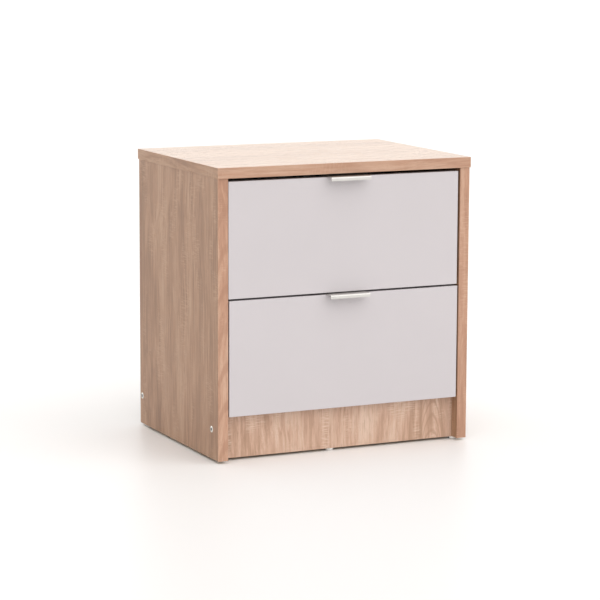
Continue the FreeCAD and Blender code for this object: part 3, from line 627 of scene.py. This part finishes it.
@dataclass(frozen=True)
class Coated(Surface):
    """A foil, melamine, powder coat or moulded plastic: an even colour with a mottle and a fine skin."""

    colour: Colour = (0.8, 0.8, 0.8)
    mottle: float = 0.04
    mottle_scale: float = 9.0
    skin_scale: float = 900.0
    # Share of the lighter arris colour: worn edges on most coats, a painted highlight line on the grey foil.
    wear_and_highlight: float = 0.3
    specular: float = 0.5

    def material(self, low: Vector, high: Vector) -> Material:
        """Builds the finish for one piece.

        Args:
            low: The piece's lowest corner.
            high: The piece's highest corner.

        Returns:
            The material.
        """
        material, graph, shader, place = self.start()
        speckle = graph.group(speckle_group(), Place=place, Mottle_scale=self.mottle_scale,
                              Skin_scale=self.skin_scale)
        deep = lighter(self.colour, 1.0 - self.mottle)
        colour = graph.blend(graph.span(speckle.outputs["Mottle"], 0.35, 0.65), self.colour, deep)
        # Lighter arrises: a painted highlight line on the grey foil fronts, worn edges on the other coats.
        colour = self.rub_arrises(graph, place, colour, (low, high), 0.0009, self.wear_and_highlight,
                                  lighter(self.colour, 1.15))
        graph.feed(shader.inputs["Base Color"], colour)
        shader.inputs["Specular IOR Level"].default_value = self.specular
        self.vary_roughness(graph, shader, speckle.outputs["Mottle"], 0.04)
        self.emboss(graph, shader, speckle.outputs["Skin"], 0.6)
        return material


@dataclass(frozen=True)
class Metal(Surface):
    """Bare or plated metal with fine lines of its drawing or rolling along one axis."""

    colour: Colour = (0.8, 0.8, 0.8)
    along: Triple = (1.0, 1.0, 1.0)
    line_scale: float = 2600.0
    tarnish: float = 0.25

    def material(self, low: Vector, high: Vector) -> Material:
        """Builds the finish for one piece.

        Args:
            low: The piece's lowest corner.
            high: The piece's highest corner.

        Returns:
            The material.
        """
        material, graph, shader, place = self.start()
        lines = graph.noise(graph.scaled(place, self.along), self.line_scale, 2.0, 0.6)
        cloud = graph.noise(place, 160.0, 3.0)
        dull = lighter(self.colour, 1.0 - self.tarnish)
        colour = graph.blend(graph.span(cloud, 0.45, 0.75, 0.0, 0.8), self.colour, dull)
        colour = self.rub_arrises(graph, place, colour, (low, high), 0.0006, 0.5,
                                  lighter(self.colour, 1.12))
        graph.feed(shader.inputs["Base Color"], colour)
        shader.inputs["Metallic"].default_value = 1.0
        self.vary_roughness(graph, shader, lines, 0.07)
        self.emboss(graph, shader, lines, 0.35)
        return material


@dataclass(frozen=True)
class Chipboard(Surface):
    """The raw edge of particle board: pressed chips with dark gaps."""

    roughness: float = 0.85
    relief: float = 0.0002
    pale: Colour = (0.56, 0.40, 0.24)
    dark: Colour = (0.24, 0.15, 0.08)

    def material(self, low: Vector, high: Vector) -> Material:
        """Builds the finish.

        Args:
            low: The piece's lowest corner.
            high: The piece's highest corner.

        Returns:
            The material.
        """
        material, graph, shader, place = self.start()
        chips = graph.node("ShaderNodeTexVoronoi")
        graph.feed(chips.inputs["Vector"], graph.scaled(place, (420.0, 420.0, 900.0)))
        chips.inputs["Scale"].default_value = 1.0
        tint = graph.node("ShaderNodeSeparateXYZ")
        graph.feed(tint.inputs[0], chips.outputs["Color"])
        colour = graph.ramp(tint.outputs[0], ((0.0, self.dark), (0.3, self.pale), (1.0, (0.68, 0.52, 0.34))))
        gaps = graph.span(graph.noise(place, 700.0, 3.0), 0.55, 0.72)
        colour = graph.blend(graph.math("MULTIPLY", gaps, 0.6), colour, self.dark)
        colour = self.rub_arrises(graph, place, colour, (low, high), 0.001, 0.3, self.pale)
        graph.feed(shader.inputs["Base Color"], colour)
        self.vary_roughness(graph, shader, tint.outputs[1], 0.05)
        self.emboss(graph, shader, chips.outputs["Distance"])
        return material


@dataclass(frozen=True)
class Hardboard(Surface):
    """The brown rear face of hardboard, with its pressed screen texture."""

    roughness: float = 0.75
    relief: float = 0.0002
    colour: Colour = (0.30, 0.175, 0.095)

    def material(self, low: Vector, high: Vector) -> Material:
        """Builds the finish.

        Args:
            low: The piece's lowest corner; not used.
            high: The piece's highest corner; not used.

        Returns:
            The material.
        """
        material, graph, shader, place = self.start()
        parts = graph.node("ShaderNodeSeparateXYZ")
        graph.feed(parts.inputs[0], place)
        pitch = 2800.0
        screen = graph.math("MULTIPLY", graph.math("SINE", graph.math("MULTIPLY", parts.outputs["X"], pitch)),
                            graph.math("SINE", graph.math("MULTIPLY", parts.outputs["Z"], pitch)))
        speckle = graph.group(speckle_group(), Place=place, Mottle_scale=12.0, Skin_scale=1500.0)
        fibres = graph.span(speckle.outputs["Skin"], 0.35, 0.7)
        pale = lighter(self.colour, 1.45)
        colour = graph.blend(graph.math("MULTIPLY", fibres, 0.5), self.colour, pale)
        colour = graph.blend(graph.span(speckle.outputs["Mottle"], 0.3, 0.7, 0.0, 0.3), colour,
                             lighter(self.colour, 0.75))
        graph.feed(shader.inputs["Base Color"], colour)
        self.vary_roughness(graph, shader, speckle.outputs["Mottle"], 0.05)
        self.emboss(graph, shader, graph.math("ADD", screen, fibres))
        return material


# ---------------------------------------------------------------- shaping


def mesh_from_node(node: str) -> Mesh:
    """A merged copy of a node's mesh, its flat faces joined up.

    Args:
        node: The node's name.

    Returns:
        The copy.
    """
    shape = bmesh.new()
    shape.from_mesh(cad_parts[node].data)
    bmesh.ops.remove_doubles(shape, verts=shape.verts, dist=1e-6)
    bmesh.ops.dissolve_limit(shape, angle_limit=math.radians(0.5), verts=shape.verts, edges=shape.edges)
    return shape


def soften(shape: Mesh, edges: Sequence[bmesh.types.BMEdge], width: float) -> None:
    """Rounds edges.

    Args:
        shape: The mesh.
        edges: The edges to round.
        width: How far from the edge the rounding starts.
    """
    bmesh.ops.bevel(shape, geom=list(edges), offset=width, offset_type="OFFSET", segments=2, profile=0.5,
                    affect="EDGES", material=-1, clamp_overlap=True)


def outline_edges(shape: Mesh, low: Vector, high: Vector) -> list[bmesh.types.BMEdge]:
    """The edges that run along a board's own arrises.

    Args:
        shape: The mesh.
        low: The board's lowest corner.
        high: The board's highest corner.

    Returns:
        The edges that lie on two of the board's outer faces at once.
    """
    slack = 2e-6
    found = []
    for edge in shape.edges:
        shared = 0
        for axis in range(3):
            first, second = (vert.co[axis] for vert in edge.verts)
            for limit in (low[axis], high[axis]):
                shared += abs(first - limit) < slack and abs(second - limit) < slack
        if shared >= 2 and edge.is_manifold and edge.calc_face_angle(0.0) > SHARP_ANGLE:
            found.append(edge)
    return found


def lathe(outline: Sequence[tuple[float, float]], steps: int = 40, closed: bool = False) -> Mesh:
    """Turns an outline about Z.

    Args:
        outline: Pairs of radius and height, in millimetres.
        steps: How many faces go round.
        closed: Whether the outline's last point joins its first, as on a ring.

    Returns:
        The turned mesh, with its faces outwards.
    """
    shape = bmesh.new()
    points = [shape.verts.new((radius * MILLIMETRE, 0.0, height * MILLIMETRE)) for radius, height in outline]
    pairs = list(zip(points, points[1:] + points[:1])) if closed else list(zip(points, points[1:]))
    lines = [shape.edges.new(pair) for pair in pairs]
    bmesh.ops.spin(shape, geom=points + lines, cent=(0, 0, 0), axis=(0, 0, 1), dvec=(0, 0, 0),
                   angle=math.tau, steps=steps, use_merge=True, use_duplicate=False)
    bmesh.ops.remove_doubles(shape, verts=shape.verts, dist=1e-6)
    bmesh.ops.dissolve_degenerate(shape, dist=1e-7, edges=shape.edges)
    bmesh.ops.recalc_face_normals(shape, faces=shape.faces)
    return shape


def aim(direction: Vector, place: Vector) -> Matrix:
    """The turn and move that send +Z along a direction from a place."""
    return Matrix.Translation(place) @ direction.to_track_quat("Z", "Y").to_matrix().to_4x4()


def gather(masters: Sequence[tuple[Mesh, Matrix]]) -> Mesh:
    """Joins placed copies of meshes into one.

    Args:
        masters: Each mesh and where it goes.

    Returns:
        The joined mesh. The masters are left as they are.
    """
    whole = bmesh.new()
    for master, place in masters:
        spare = bpy.data.meshes.new("spare")
        master.to_mesh(spare)
        spare.transform(place)
        whole.from_mesh(spare)
        bpy.data.meshes.remove(spare)
    return whole


def finish_piece(shape: Mesh, name: str, body: str,
                 materials: Sequence[Material], nodes: Sequence[str],
                 flat_over: float = math.inf) -> bpy.types.Object:
    """Turns a mesh into a piece of the model.

    Args:
        shape: The mesh, in place. It is freed.
        name: The piece's name.
        body: The body it rides on.
        materials: Its materials, in the order of the faces' indices.
        nodes: The nodes it stands for.
        flat_over: The area above which a face keeps its own flat shading, in square metres.

    Returns:
        The object.
    """
    mesh = bpy.data.meshes.new(name)
    shape.to_mesh(mesh)
    shape.free()
    mesh.set_sharp_from_angle(angle=SMOOTH_ANGLE)
    for polygon in mesh.polygons:
        polygon.use_smooth = polygon.area < flat_over
    for material in materials:
        mesh.materials.append(material)
    piece = bpy.data.objects.new(name, mesh)
    bpy.context.scene.collection.objects.link(piece)
    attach(piece, body)
    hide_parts(*nodes)
    LOG.info("%s: %d faces on %s", name, len(mesh.polygons), body)
    return piece


def dress(node: str, finish: Surface) -> None:
    """Gives a node that stays as it is its material.

    Args:
        node: The node's name.
        finish: Its finish.
    """
    material = finish.material(*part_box(node))
    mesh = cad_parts[node].data
    mesh.materials.clear()
    mesh.materials.append(material)
    LOG.info("%s: dressed in %s", node, material.name)


def board(node: str, name: str, body: str, finishes: Sequence[Surface], arris: float,
          choose: Callable[[Vector], int] | None = None) -> bpy.types.Object:
    """A board with soft arrises and its own finishes.

    Args:
        node: The node whose shape it keeps.
        name: The piece's name.
        body: The body it rides on.
        finishes: Its finishes.
        arris: The width of its rounded arrises, in metres.
        choose: Gives the index of the finish for a face from its normal; the first finish if it is left out.

    Returns:
        The object.
    """
    low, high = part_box(node)
    shape = mesh_from_node(node)
    for face in shape.faces:
        face.material_index = choose(face.normal) if choose else 0
    soften(shape, outline_edges(shape, low, high), arris)
    materials = [finish.material(low, high) for finish in finishes]
    return finish_piece(shape, name, body, materials, [node], flat_over=arris * 0.02)


# ---------------------------------------------------------------- the finishes of this nightstand

RAW_EDGE = Chipboard("raw_chipboard_edge")
WHITE_BOARD = Coated("white_melamine", roughness=0.42, relief=0.00002, colour=(0.80, 0.80, 0.78), wear_and_highlight=0.2)
PALE_FACE = Coated("pale_back_face", roughness=0.55, relief=0.00003, colour=(0.74, 0.71, 0.66), wear_and_highlight=0.1)
BACK_BROWN = Hardboard("back_hardboard")
# Its large arris share paints a bright highlight line along the edges of the drawer fronts.
GREY_FOIL = Coated("grey_front_foil", roughness=0.34, relief=0.000012, colour=(0.531, 0.498, 0.513),
                   mottle=0.012, mottle_scale=6.0, skin_scale=1400.0, wear_and_highlight=0.75)
ANODISED = Metal("anodised_pull", roughness=0.34, relief=0.00001, colour=(0.61, 0.595, 0.57),
                 along=(0.02, 1.0, 1.0), tarnish=0.06)
ZINC_PLATE = Metal("zinc_plated_steel", roughness=0.28, relief=0.00001, colour=(0.78, 0.77, 0.73),
                   tarnish=0.2)
SOCKET_DARK = Metal("socket_shadowed_steel", roughness=0.6, relief=0.00002, colour=(0.10, 0.095, 0.09))
DIE_CAST = Metal("die_cast_zinc", roughness=0.5, relief=0.00004, colour=(0.56, 0.57, 0.58), line_scale=900.0)
RUNNER_COAT = Coated("runner_powder_coat", roughness=0.38, relief=0.00004, colour=(0.78, 0.76, 0.70),
                     skin_scale=1600.0, wear_and_highlight=0.15)
NYLON = Coated("roller_nylon", roughness=0.33, relief=0.00002, colour=(0.80, 0.80, 0.76), mottle_scale=60.0)
GLIDE_PLASTIC = Coated("glide_plastic", roughness=0.36, relief=0.00002, colour=(0.78, 0.76, 0.73),
                       mottle_scale=70.0)
BEECH = OakPrint("beech_dowel", roughness=0.6, grain=Grain.UPRIGHT, dark=(0.38, 0.24, 0.13),
                 middle=(0.50, 0.34, 0.20), light=(0.58, 0.42, 0.27), saw=0.1)

BAND_DARK = (0.345, 0.175, 0.108)
BAND_MIDDLE = (0.470, 0.262, 0.172)
BAND_LIGHT = (0.560, 0.362, 0.255)


# ---------------------------------------------------------------- the cabinet


@dataclass
class Cabinet:
    """The carcass: top, sides, plinths, back, their edge bands, connectors and glides."""

    arris: float = 0.0003
    body: str = "cabinet"
    # The top's tones are lighter and flatter than the sides' print: they paint the bright light and sheen on
    # the top.
    top_grain: OakPrint = field(default_factory=lambda: OakPrint(
        "oak_top_painted_sheen", roughness=0.3, grain=Grain.ACROSS, shift=(0.3, 0.7, 0.2), contrast=0.75, saw=0.2,
        dark=(0.335, 0.208, 0.132), middle=(0.49, 0.317, 0.208), light=(0.59, 0.42, 0.30)))

    def build(self) -> None:
        """Builds every part of the cabinet."""
        self.top()
        for side in Side:
            self.side(side)
        self.plinths()
        self.back()
        self.bands()
        self.side_screws()
        self.glides()
        self.connectors()

    def top(self) -> None:
        """The top board, raw along its rear edge."""
        board("top_panel", "top_board", self.body, [self.top_grain, RAW_EDGE], self.arris,
              lambda normal: int(normal.y > 0.9))

    def side(self, side: Side) -> None:
        """One side board, printed on both faces and raw on its hidden edges.

        Args:
            side: Which side it is.
        """
        shift = (1.37, 0.41, 0.15) if side is Side.LEFT else (2.61, 1.93, 0.55)
        grain = OakPrint(f"oak_side_{side.word}", grain=Grain.UPRIGHT, shift=shift)
        board(f"side_{side.word}", f"side_board_{side.word}", self.body, [grain, RAW_EDGE],
              self.arris, lambda normal: int(abs(normal.x) < 0.5))

    def plinths(self) -> None:
        """The front and rear plinths, their print paler than the sides' to paint light into the shade of
        their recess.
        """
        figured = ("front", FlameFigure((0.158, 0.0, 0.052)), (0.11, 3.1, 0.9))
        for place, flame, shift in (figured, ("rear", None, (5.2, 0.6, 0.3))):
            # The paler dark, middle and light tones paint light into the shade of the recess under the drawer
            # fronts.
            grain = OakPrint(f"oak_plinth_{place}", shift=shift, flame=flame, contrast=0.95, saw=0.8,
                             dark=(0.345, 0.205, 0.130), middle=(0.545, 0.352, 0.256),
                             light=(0.655, 0.485, 0.380))
            board(f"plinth_{place}", f"plinth_board_{place}", self.body, [grain, RAW_EDGE],
                  self.arris, lambda normal: int(abs(normal.y) < 0.5))

    def back(self) -> None:
        """The thin back, brown outside and pale inside."""
        board("back_panel", "back_board", self.body, [BACK_BROWN, PALE_FACE],
              self.arris * 0.7, lambda normal: int(normal.y < -0.5))

    def bands(self) -> None:
        """The edge bands of the top and the sides."""
        tones = {"dark": BAND_DARK, "middle": BAND_MIDDLE, "light": BAND_LIGHT}
        top_tones = {name: lighter(tone, 0.93) for name, tone in tones.items()}
        top = OakPrint("oak_band_top", grain=Grain.ACROSS, shift=(0.5, 1.2, 2.2), saw=0.5, **top_tones)
        flame = FlameFigure((-0.1945, 0.0, 0.14), half_width=0.016, reach=0.03, rings=3.2)
        side = OakPrint("oak_band_side", shift=(4.4, 0.2, 0.8), saw=0.5, flame=flame, **tones)
        ends = OakPrint("oak_band_ends", grain=Grain.TO_REAR, shift=(0.9, 0.3, 1.6))
        board("top_edging", "top_band", self.body, [top, ends], self.arris * 1.2,
              lambda normal: int(abs(normal.x) > 0.5))
        board("side_edging", "side_band", self.body, [side], self.arris * 1.2)

    def side_screws(self) -> None:
        """The thick cabinet screws through the sides: domed head, hexagonal socket, neck and thread."""
        low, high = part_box("side_screws")
        head = [(0.0, -1.6), (2.25, -1.6), (2.35, 0.5), (2.6, 0.6), (3.6, 0.55), (4.4, 0.3), (4.95, -0.1),
                (4.95, -0.5), (3.5, -2.4), (3.5, -15.5), (2.0, -16.2)]
        thread = []
        for turn in range(11):
            start = -16.6 - turn * 2.9
            thread += [(1.9, start), (2.48, start - 1.1), (1.9, start - 2.2)]
        screw = lathe(head + thread + [(0.0, -49.2)], steps=36)
        self.hexagon_socket(screw)
        for face in screw.faces:
            middle = face.calc_center_median()
            face.material_index = int(math.hypot(middle.x, middle.y) < 0.0024 and middle.z > -0.0018)
        middle_z = (low.z + high.z) / 2
        radius = (high.z - low.z) / 2
        places = []
        for side in Side:
            face = abs(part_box(f"side_{side.word}")[0 if side is Side.LEFT else 1].x) * side.value
            for y in (low.y + radius, high.y - radius):
                places.append((screw, aim(Vector((side.value, 0, 0)), Vector((face, y, middle_z)))))
        finish_piece(gather(places), "cabinet_screws", self.body,
                     [ZINC_PLATE.material(low, high), SOCKET_DARK.material(low, high)], ["side_screws"])
        screw.free()

    @staticmethod
    def hexagon_socket(screw: Mesh) -> None:
        """Turns the round hole in a head into a hexagonal one.

        Args:
            screw: The turned screw, its hole between 2.2 and 2.4 mm from the middle.
        """
        for vert in screw.verts:
            flat = math.hypot(vert.co.x, vert.co.y)
            if 0.0015 < flat < 0.0024 and vert.co.z > -0.0017:
                angle = math.atan2(vert.co.y, vert.co.x) % (math.pi / 3) - math.pi / 6
                factor = 0.87 / math.cos(angle)
                vert.co.x *= factor
                vert.co.y *= factor

    def glides(self) -> None:
        """The nail-on plastic glides under the sides and the front plinth."""
        low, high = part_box("glides")
        dome = [(0.0, 0.0), (4.2, 0.05), (5.6, 0.35), (6.6, 1.1), (6.95, 2.0), (6.95, 3.6), (6.6, 4.0),
                (1.0, 4.0), (1.0, 14.0), (0.0, 16.0)]
        glide = lathe(dome, steps=36)
        spots = self.solid_middles("glides")
        places = [(glide, Matrix.Translation((spot.x, spot.y, 0.0))) for spot in spots]
        finish_piece(gather(places), "nail_on_glides", self.body,
                     [GLIDE_PLASTIC.material(low, high)], ["glides"])
        glide.free()

    @staticmethod
    def solid_middles(node: str) -> list[Vector]:
        """Finds the middle of each separate solid of a node.

        Args:
            node: The node's name.

        Returns:
            The middles, in order along X and then Y.
        """
        shape = mesh_from_node(node)
        left = set(shape.verts)
        middles = []
        while left:
            island, edge = set(), {left.pop()}
            while edge:
                vert = edge.pop()
                island.add(vert)
                edge |= {line.other_vert(vert) for line in vert.link_edges} - island
            left -= island
            corners = [(min(vert.co[axis] for vert in island),
                        max(vert.co[axis] for vert in island)) for axis in range(3)]
            middles.append(Vector([(low + high) / 2 for low, high in corners]))
        shape.free()
        return sorted(middles, key=lambda spot: (round(spot.x, 5), round(spot.y, 5), round(spot.z, 5)))

    def connectors(self) -> None:
        """The hidden dowels, cam locks, bolts and nails."""
        finishes = {"top_cam_bolts": ZINC_PLATE, "top_cams": DIE_CAST, "top_dowels": BEECH,
                    "plinth_dowels": BEECH, "back_nails": ZINC_PLATE}
        for node, finish in finishes.items():
            dress(node, finish)


# ---------------------------------------------------------------- the drawers and their runners


def sheet_part(node: str, name: str, body: str, finish: Surface, width: float) -> bpy.types.Object:
    """A part of bent sheet, its cut edges broken.

    Args:
        node: The node whose shape it keeps.
        name: The piece's name.
        body: The body it rides on.
        finish: Its finish.
        width: The width of the broken edges, in metres.

    Returns:
        The object.
    """
    low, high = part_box(node)
    shape = mesh_from_node(node)
    bent = [edge for edge in shape.edges if edge.is_manifold and edge.calc_face_angle(0.0) > BENT_ANGLE]
    soften(shape, [edge for edge in bent if edge.calc_length() > width * 4], width)
    return finish_piece(shape, name, body, [finish.material(low, high)], [node], flat_over=width * 0.02)


@dataclass
class Roller:
    """A moulded roller with a rim, a recessed web and a hub, turning on a riveted pin."""

    node: str
    recess: float = 0.9
    rim: float = 1.6
    hub: float = 3.6
    corner: float = 0.45

    def build(self) -> None:
        """Builds the roller on its own body."""
        low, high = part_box(self.node)
        middle = (low + high) / 2
        radius = (high.z - low.z) / 2 / MILLIMETRE
        half = (high.x - low.x) / 2 / MILLIMETRE
        bore, inner, corner = 2.05, radius - self.rim, self.corner
        upper = [(bore, half), (self.hub, half), (self.hub + 0.2, half - self.recess),
                 (inner - 0.2, half - self.recess), (inner, half), (radius - corner, half),
                 (radius - corner * 0.3, half - corner * 0.3), (radius, half - corner)]
        outline = upper + [(r, -z) for r, z in reversed(upper)]
        shape = lathe(outline, steps=48, closed=True)
        bmesh.ops.transform(shape, matrix=aim(Vector((1, 0, 0)), middle), verts=shape.verts)
        finish_piece(shape, self.node + "_wheel", self.node, [NYLON.material(low, high)],
                     [self.node])


@dataclass
class Drawer:
    """One drawer: front, box, base, edge pull, fittings and its halves of the runners."""

    name: str
    arris: float = 0.0004

    @property
    def body(self) -> str:
        """The body that the drawer's pieces ride on."""
        return f"{self.name}_drawer"

    def build(self) -> None:
        """Builds every part of the drawer."""
        self.front()
        self.box()
        self.pull()
        self.fittings()
        for side in Side:
            self.runner(side)

    def front(self) -> None:
        """The foiled front, white on its back."""
        board(f"{self.name}_front", f"{self.name}_front_panel", self.body,
              [GREY_FOIL, WHITE_BOARD], self.arris, lambda normal: int(normal.y > 0.5))

    def box(self) -> None:
        """The sides, the back and the base of the box."""
        for part in ("box_left", "box_right", "box_back"):
            board(f"{self.name}_{part}", f"{self.name}_{part}_board", self.body,
                  [WHITE_BOARD], self.arris)
        board(f"{self.name}_box_base", f"{self.name}_base_board", self.body,
              [PALE_FACE, BACK_BROWN], self.arris * 0.5, lambda normal: int(normal.z < -0.5))

    def pull(self) -> None:
        """The bent edge pull."""
        sheet_part(f"{self.name}_pull", f"{self.name}_edge_pull", self.body, ANODISED,
                   0.0002)

    def fittings(self) -> None:
        """The drawer's screws, cam locks, dowels and roller pins."""
        finishes = {"pull_screws": ZINC_PLATE, "box_screws": ZINC_PLATE, "runner_screws": ZINC_PLATE,
                    "runner_pins": ZINC_PLATE, "cam_bolts": ZINC_PLATE, "cams": DIE_CAST, "dowels": BEECH}
        for part, finish in finishes.items():
            dress(f"{self.name}_{part}", finish)

    def runner(self, side: Side) -> None:
        """The runner halves and rollers of one side.

        Args:
            side: Which side it is.
        """
        runner = f"{self.name}_runner_{side.word}"
        channel = f"{self.name}_channel_{side.word}"
        sheet_part(runner, runner + "_rail", self.body, RUNNER_COAT, 0.00015)
        sheet_part(channel, channel + "_rail", "cabinet", RUNNER_COAT, 0.00015)
        Roller(f"{self.name}_runner_roller_{side.word}").build()
        Roller(f"{self.name}_channel_roller_{side.word}").build()


# ---------------------------------------------------------------- the studio


@dataclass
class Studio:
    """The pale floor, the soft light and the camera."""

    floor_colour: Colour = (0.86, 0.846, 0.838)
    floor_radius: float = 40.0
    sky_colour: Colour = (1.0, 0.995, 0.985)
    overhead: float = 0.52
    behind: float = 1.45
    left: float = 0.48
    right: float = 0.48
    key_strength: float = 1.9
    key_spread: float = 95.0
    key_from: Triple = (0.12, -0.78, 0.62)
    lens: float = 147.4
    camera_place: Triple = (-1.6257, -3.4298, 0.8218)
    yaw: float = 25.28
    pitch: float = 9.12
    roll: float = 0.24

    def build(self) -> None:
        """Builds the floor, the light and the camera."""
        self.floor()
        self.light()
        self.camera()

    def floor(self) -> None:
        """A wide, slightly glossy floor with a faint cloudiness."""
        shape = bmesh.new()
        bmesh.ops.create_circle(shape, cap_ends=True, segments=96, radius=self.floor_radius)
        mesh = bpy.data.meshes.new("studio_floor")
        shape.to_mesh(mesh)
        shape.free()
        paint = Coated("floor_paint", roughness=0.42, colour=self.floor_colour, mottle=0.01, mottle_scale=0.7,
                       skin_scale=300.0, wear_and_highlight=0.0, relief=0.00001)
        reach = self.floor_radius
        mesh.materials.append(paint.material(Vector((-reach, -reach, -1)), Vector((reach, reach, 1))))
        floor = bpy.data.objects.new("studio_floor", mesh)
        bpy.context.scene.collection.objects.link(floor)

    def light(self) -> None:
        """A pale surround, brighter overhead and behind, and one large soft light from the front right."""
        world = bpy.data.worlds.new("studio")
        world.use_nodes = True
        graph = Graph(world.node_tree)
        background = world.node_tree.nodes["Background"]
        way = graph.node("ShaderNodeSeparateXYZ")
        graph.feed(way.inputs[0], graph.node("ShaderNodeTexCoord").outputs["Generated"])
        x, y, z = way.outputs
        rear = graph.span(y, 0.1, 0.9, 0.0, self.behind)
        backdrop = graph.math("MULTIPLY", rear, graph.span(z, 0.1, 0.5, 1.0, 0.0))
        upper = graph.math("ADD", graph.span(z, 0.0, 1.0, 0.0, self.overhead), backdrop)
        sides = graph.span(x, -1.0, 0.6, self.left, self.right)
        background.inputs["Color"].default_value = (*self.sky_colour, 1.0)
        graph.feed(background.inputs["Strength"], graph.math("ADD", upper, sides))
        bpy.context.scene.world = world
        key = bpy.data.lights.new("key", "SUN")
        key.energy = self.key_strength
        key.angle = math.radians(self.key_spread)
        key.color = (1.0, 0.985, 0.965)
        lamp = bpy.data.objects.new("key", key)
        lamp.rotation_euler = Vector(self.key_from).to_track_quat("Z", "Y").to_euler()
        bpy.context.scene.collection.objects.link(lamp)

    def camera(self) -> None:
        """The camera, looking down at the front left corner."""
        yaw, pitch, roll = (math.radians(angle) for angle in (self.yaw, self.pitch, self.roll))
        ahead = Vector((math.sin(yaw) * math.cos(pitch), math.cos(yaw) * math.cos(pitch), -math.sin(pitch)))
        right = Vector((math.cos(yaw), -math.sin(yaw), 0.0))
        up = right.cross(ahead)
        leaned_right = right * math.cos(roll) + up * math.sin(roll)
        leaned_up = up * math.cos(roll) - right * math.sin(roll)
        data = bpy.data.cameras.new("camera")
        data.lens = self.lens
        data.sensor_width = 36.0
        data.clip_end = 200.0
        camera = bpy.data.objects.new("camera", data)
        axes = Matrix((leaned_right, leaned_up, -ahead)).transposed().to_4x4()
        camera.matrix_world = Matrix.Translation(self.camera_place) @ axes
        bpy.context.scene.collection.objects.link(camera)
        bpy.context.scene.camera = camera


def main() -> None:
    """Builds the studio and the nightstand."""
    logging.basicConfig(level=logging.INFO, format="%(message)s")
    bpy.context.scene.view_settings.view_transform = "Standard"
    Studio().build()
    Cabinet().build()
    for name in ("upper", "lower"):
        Drawer(name).build()
    for node in ("channel_screws", "channel_pins"):
        dress(node, ZINC_PLATE)


if __name__ == "__main__":
    main()
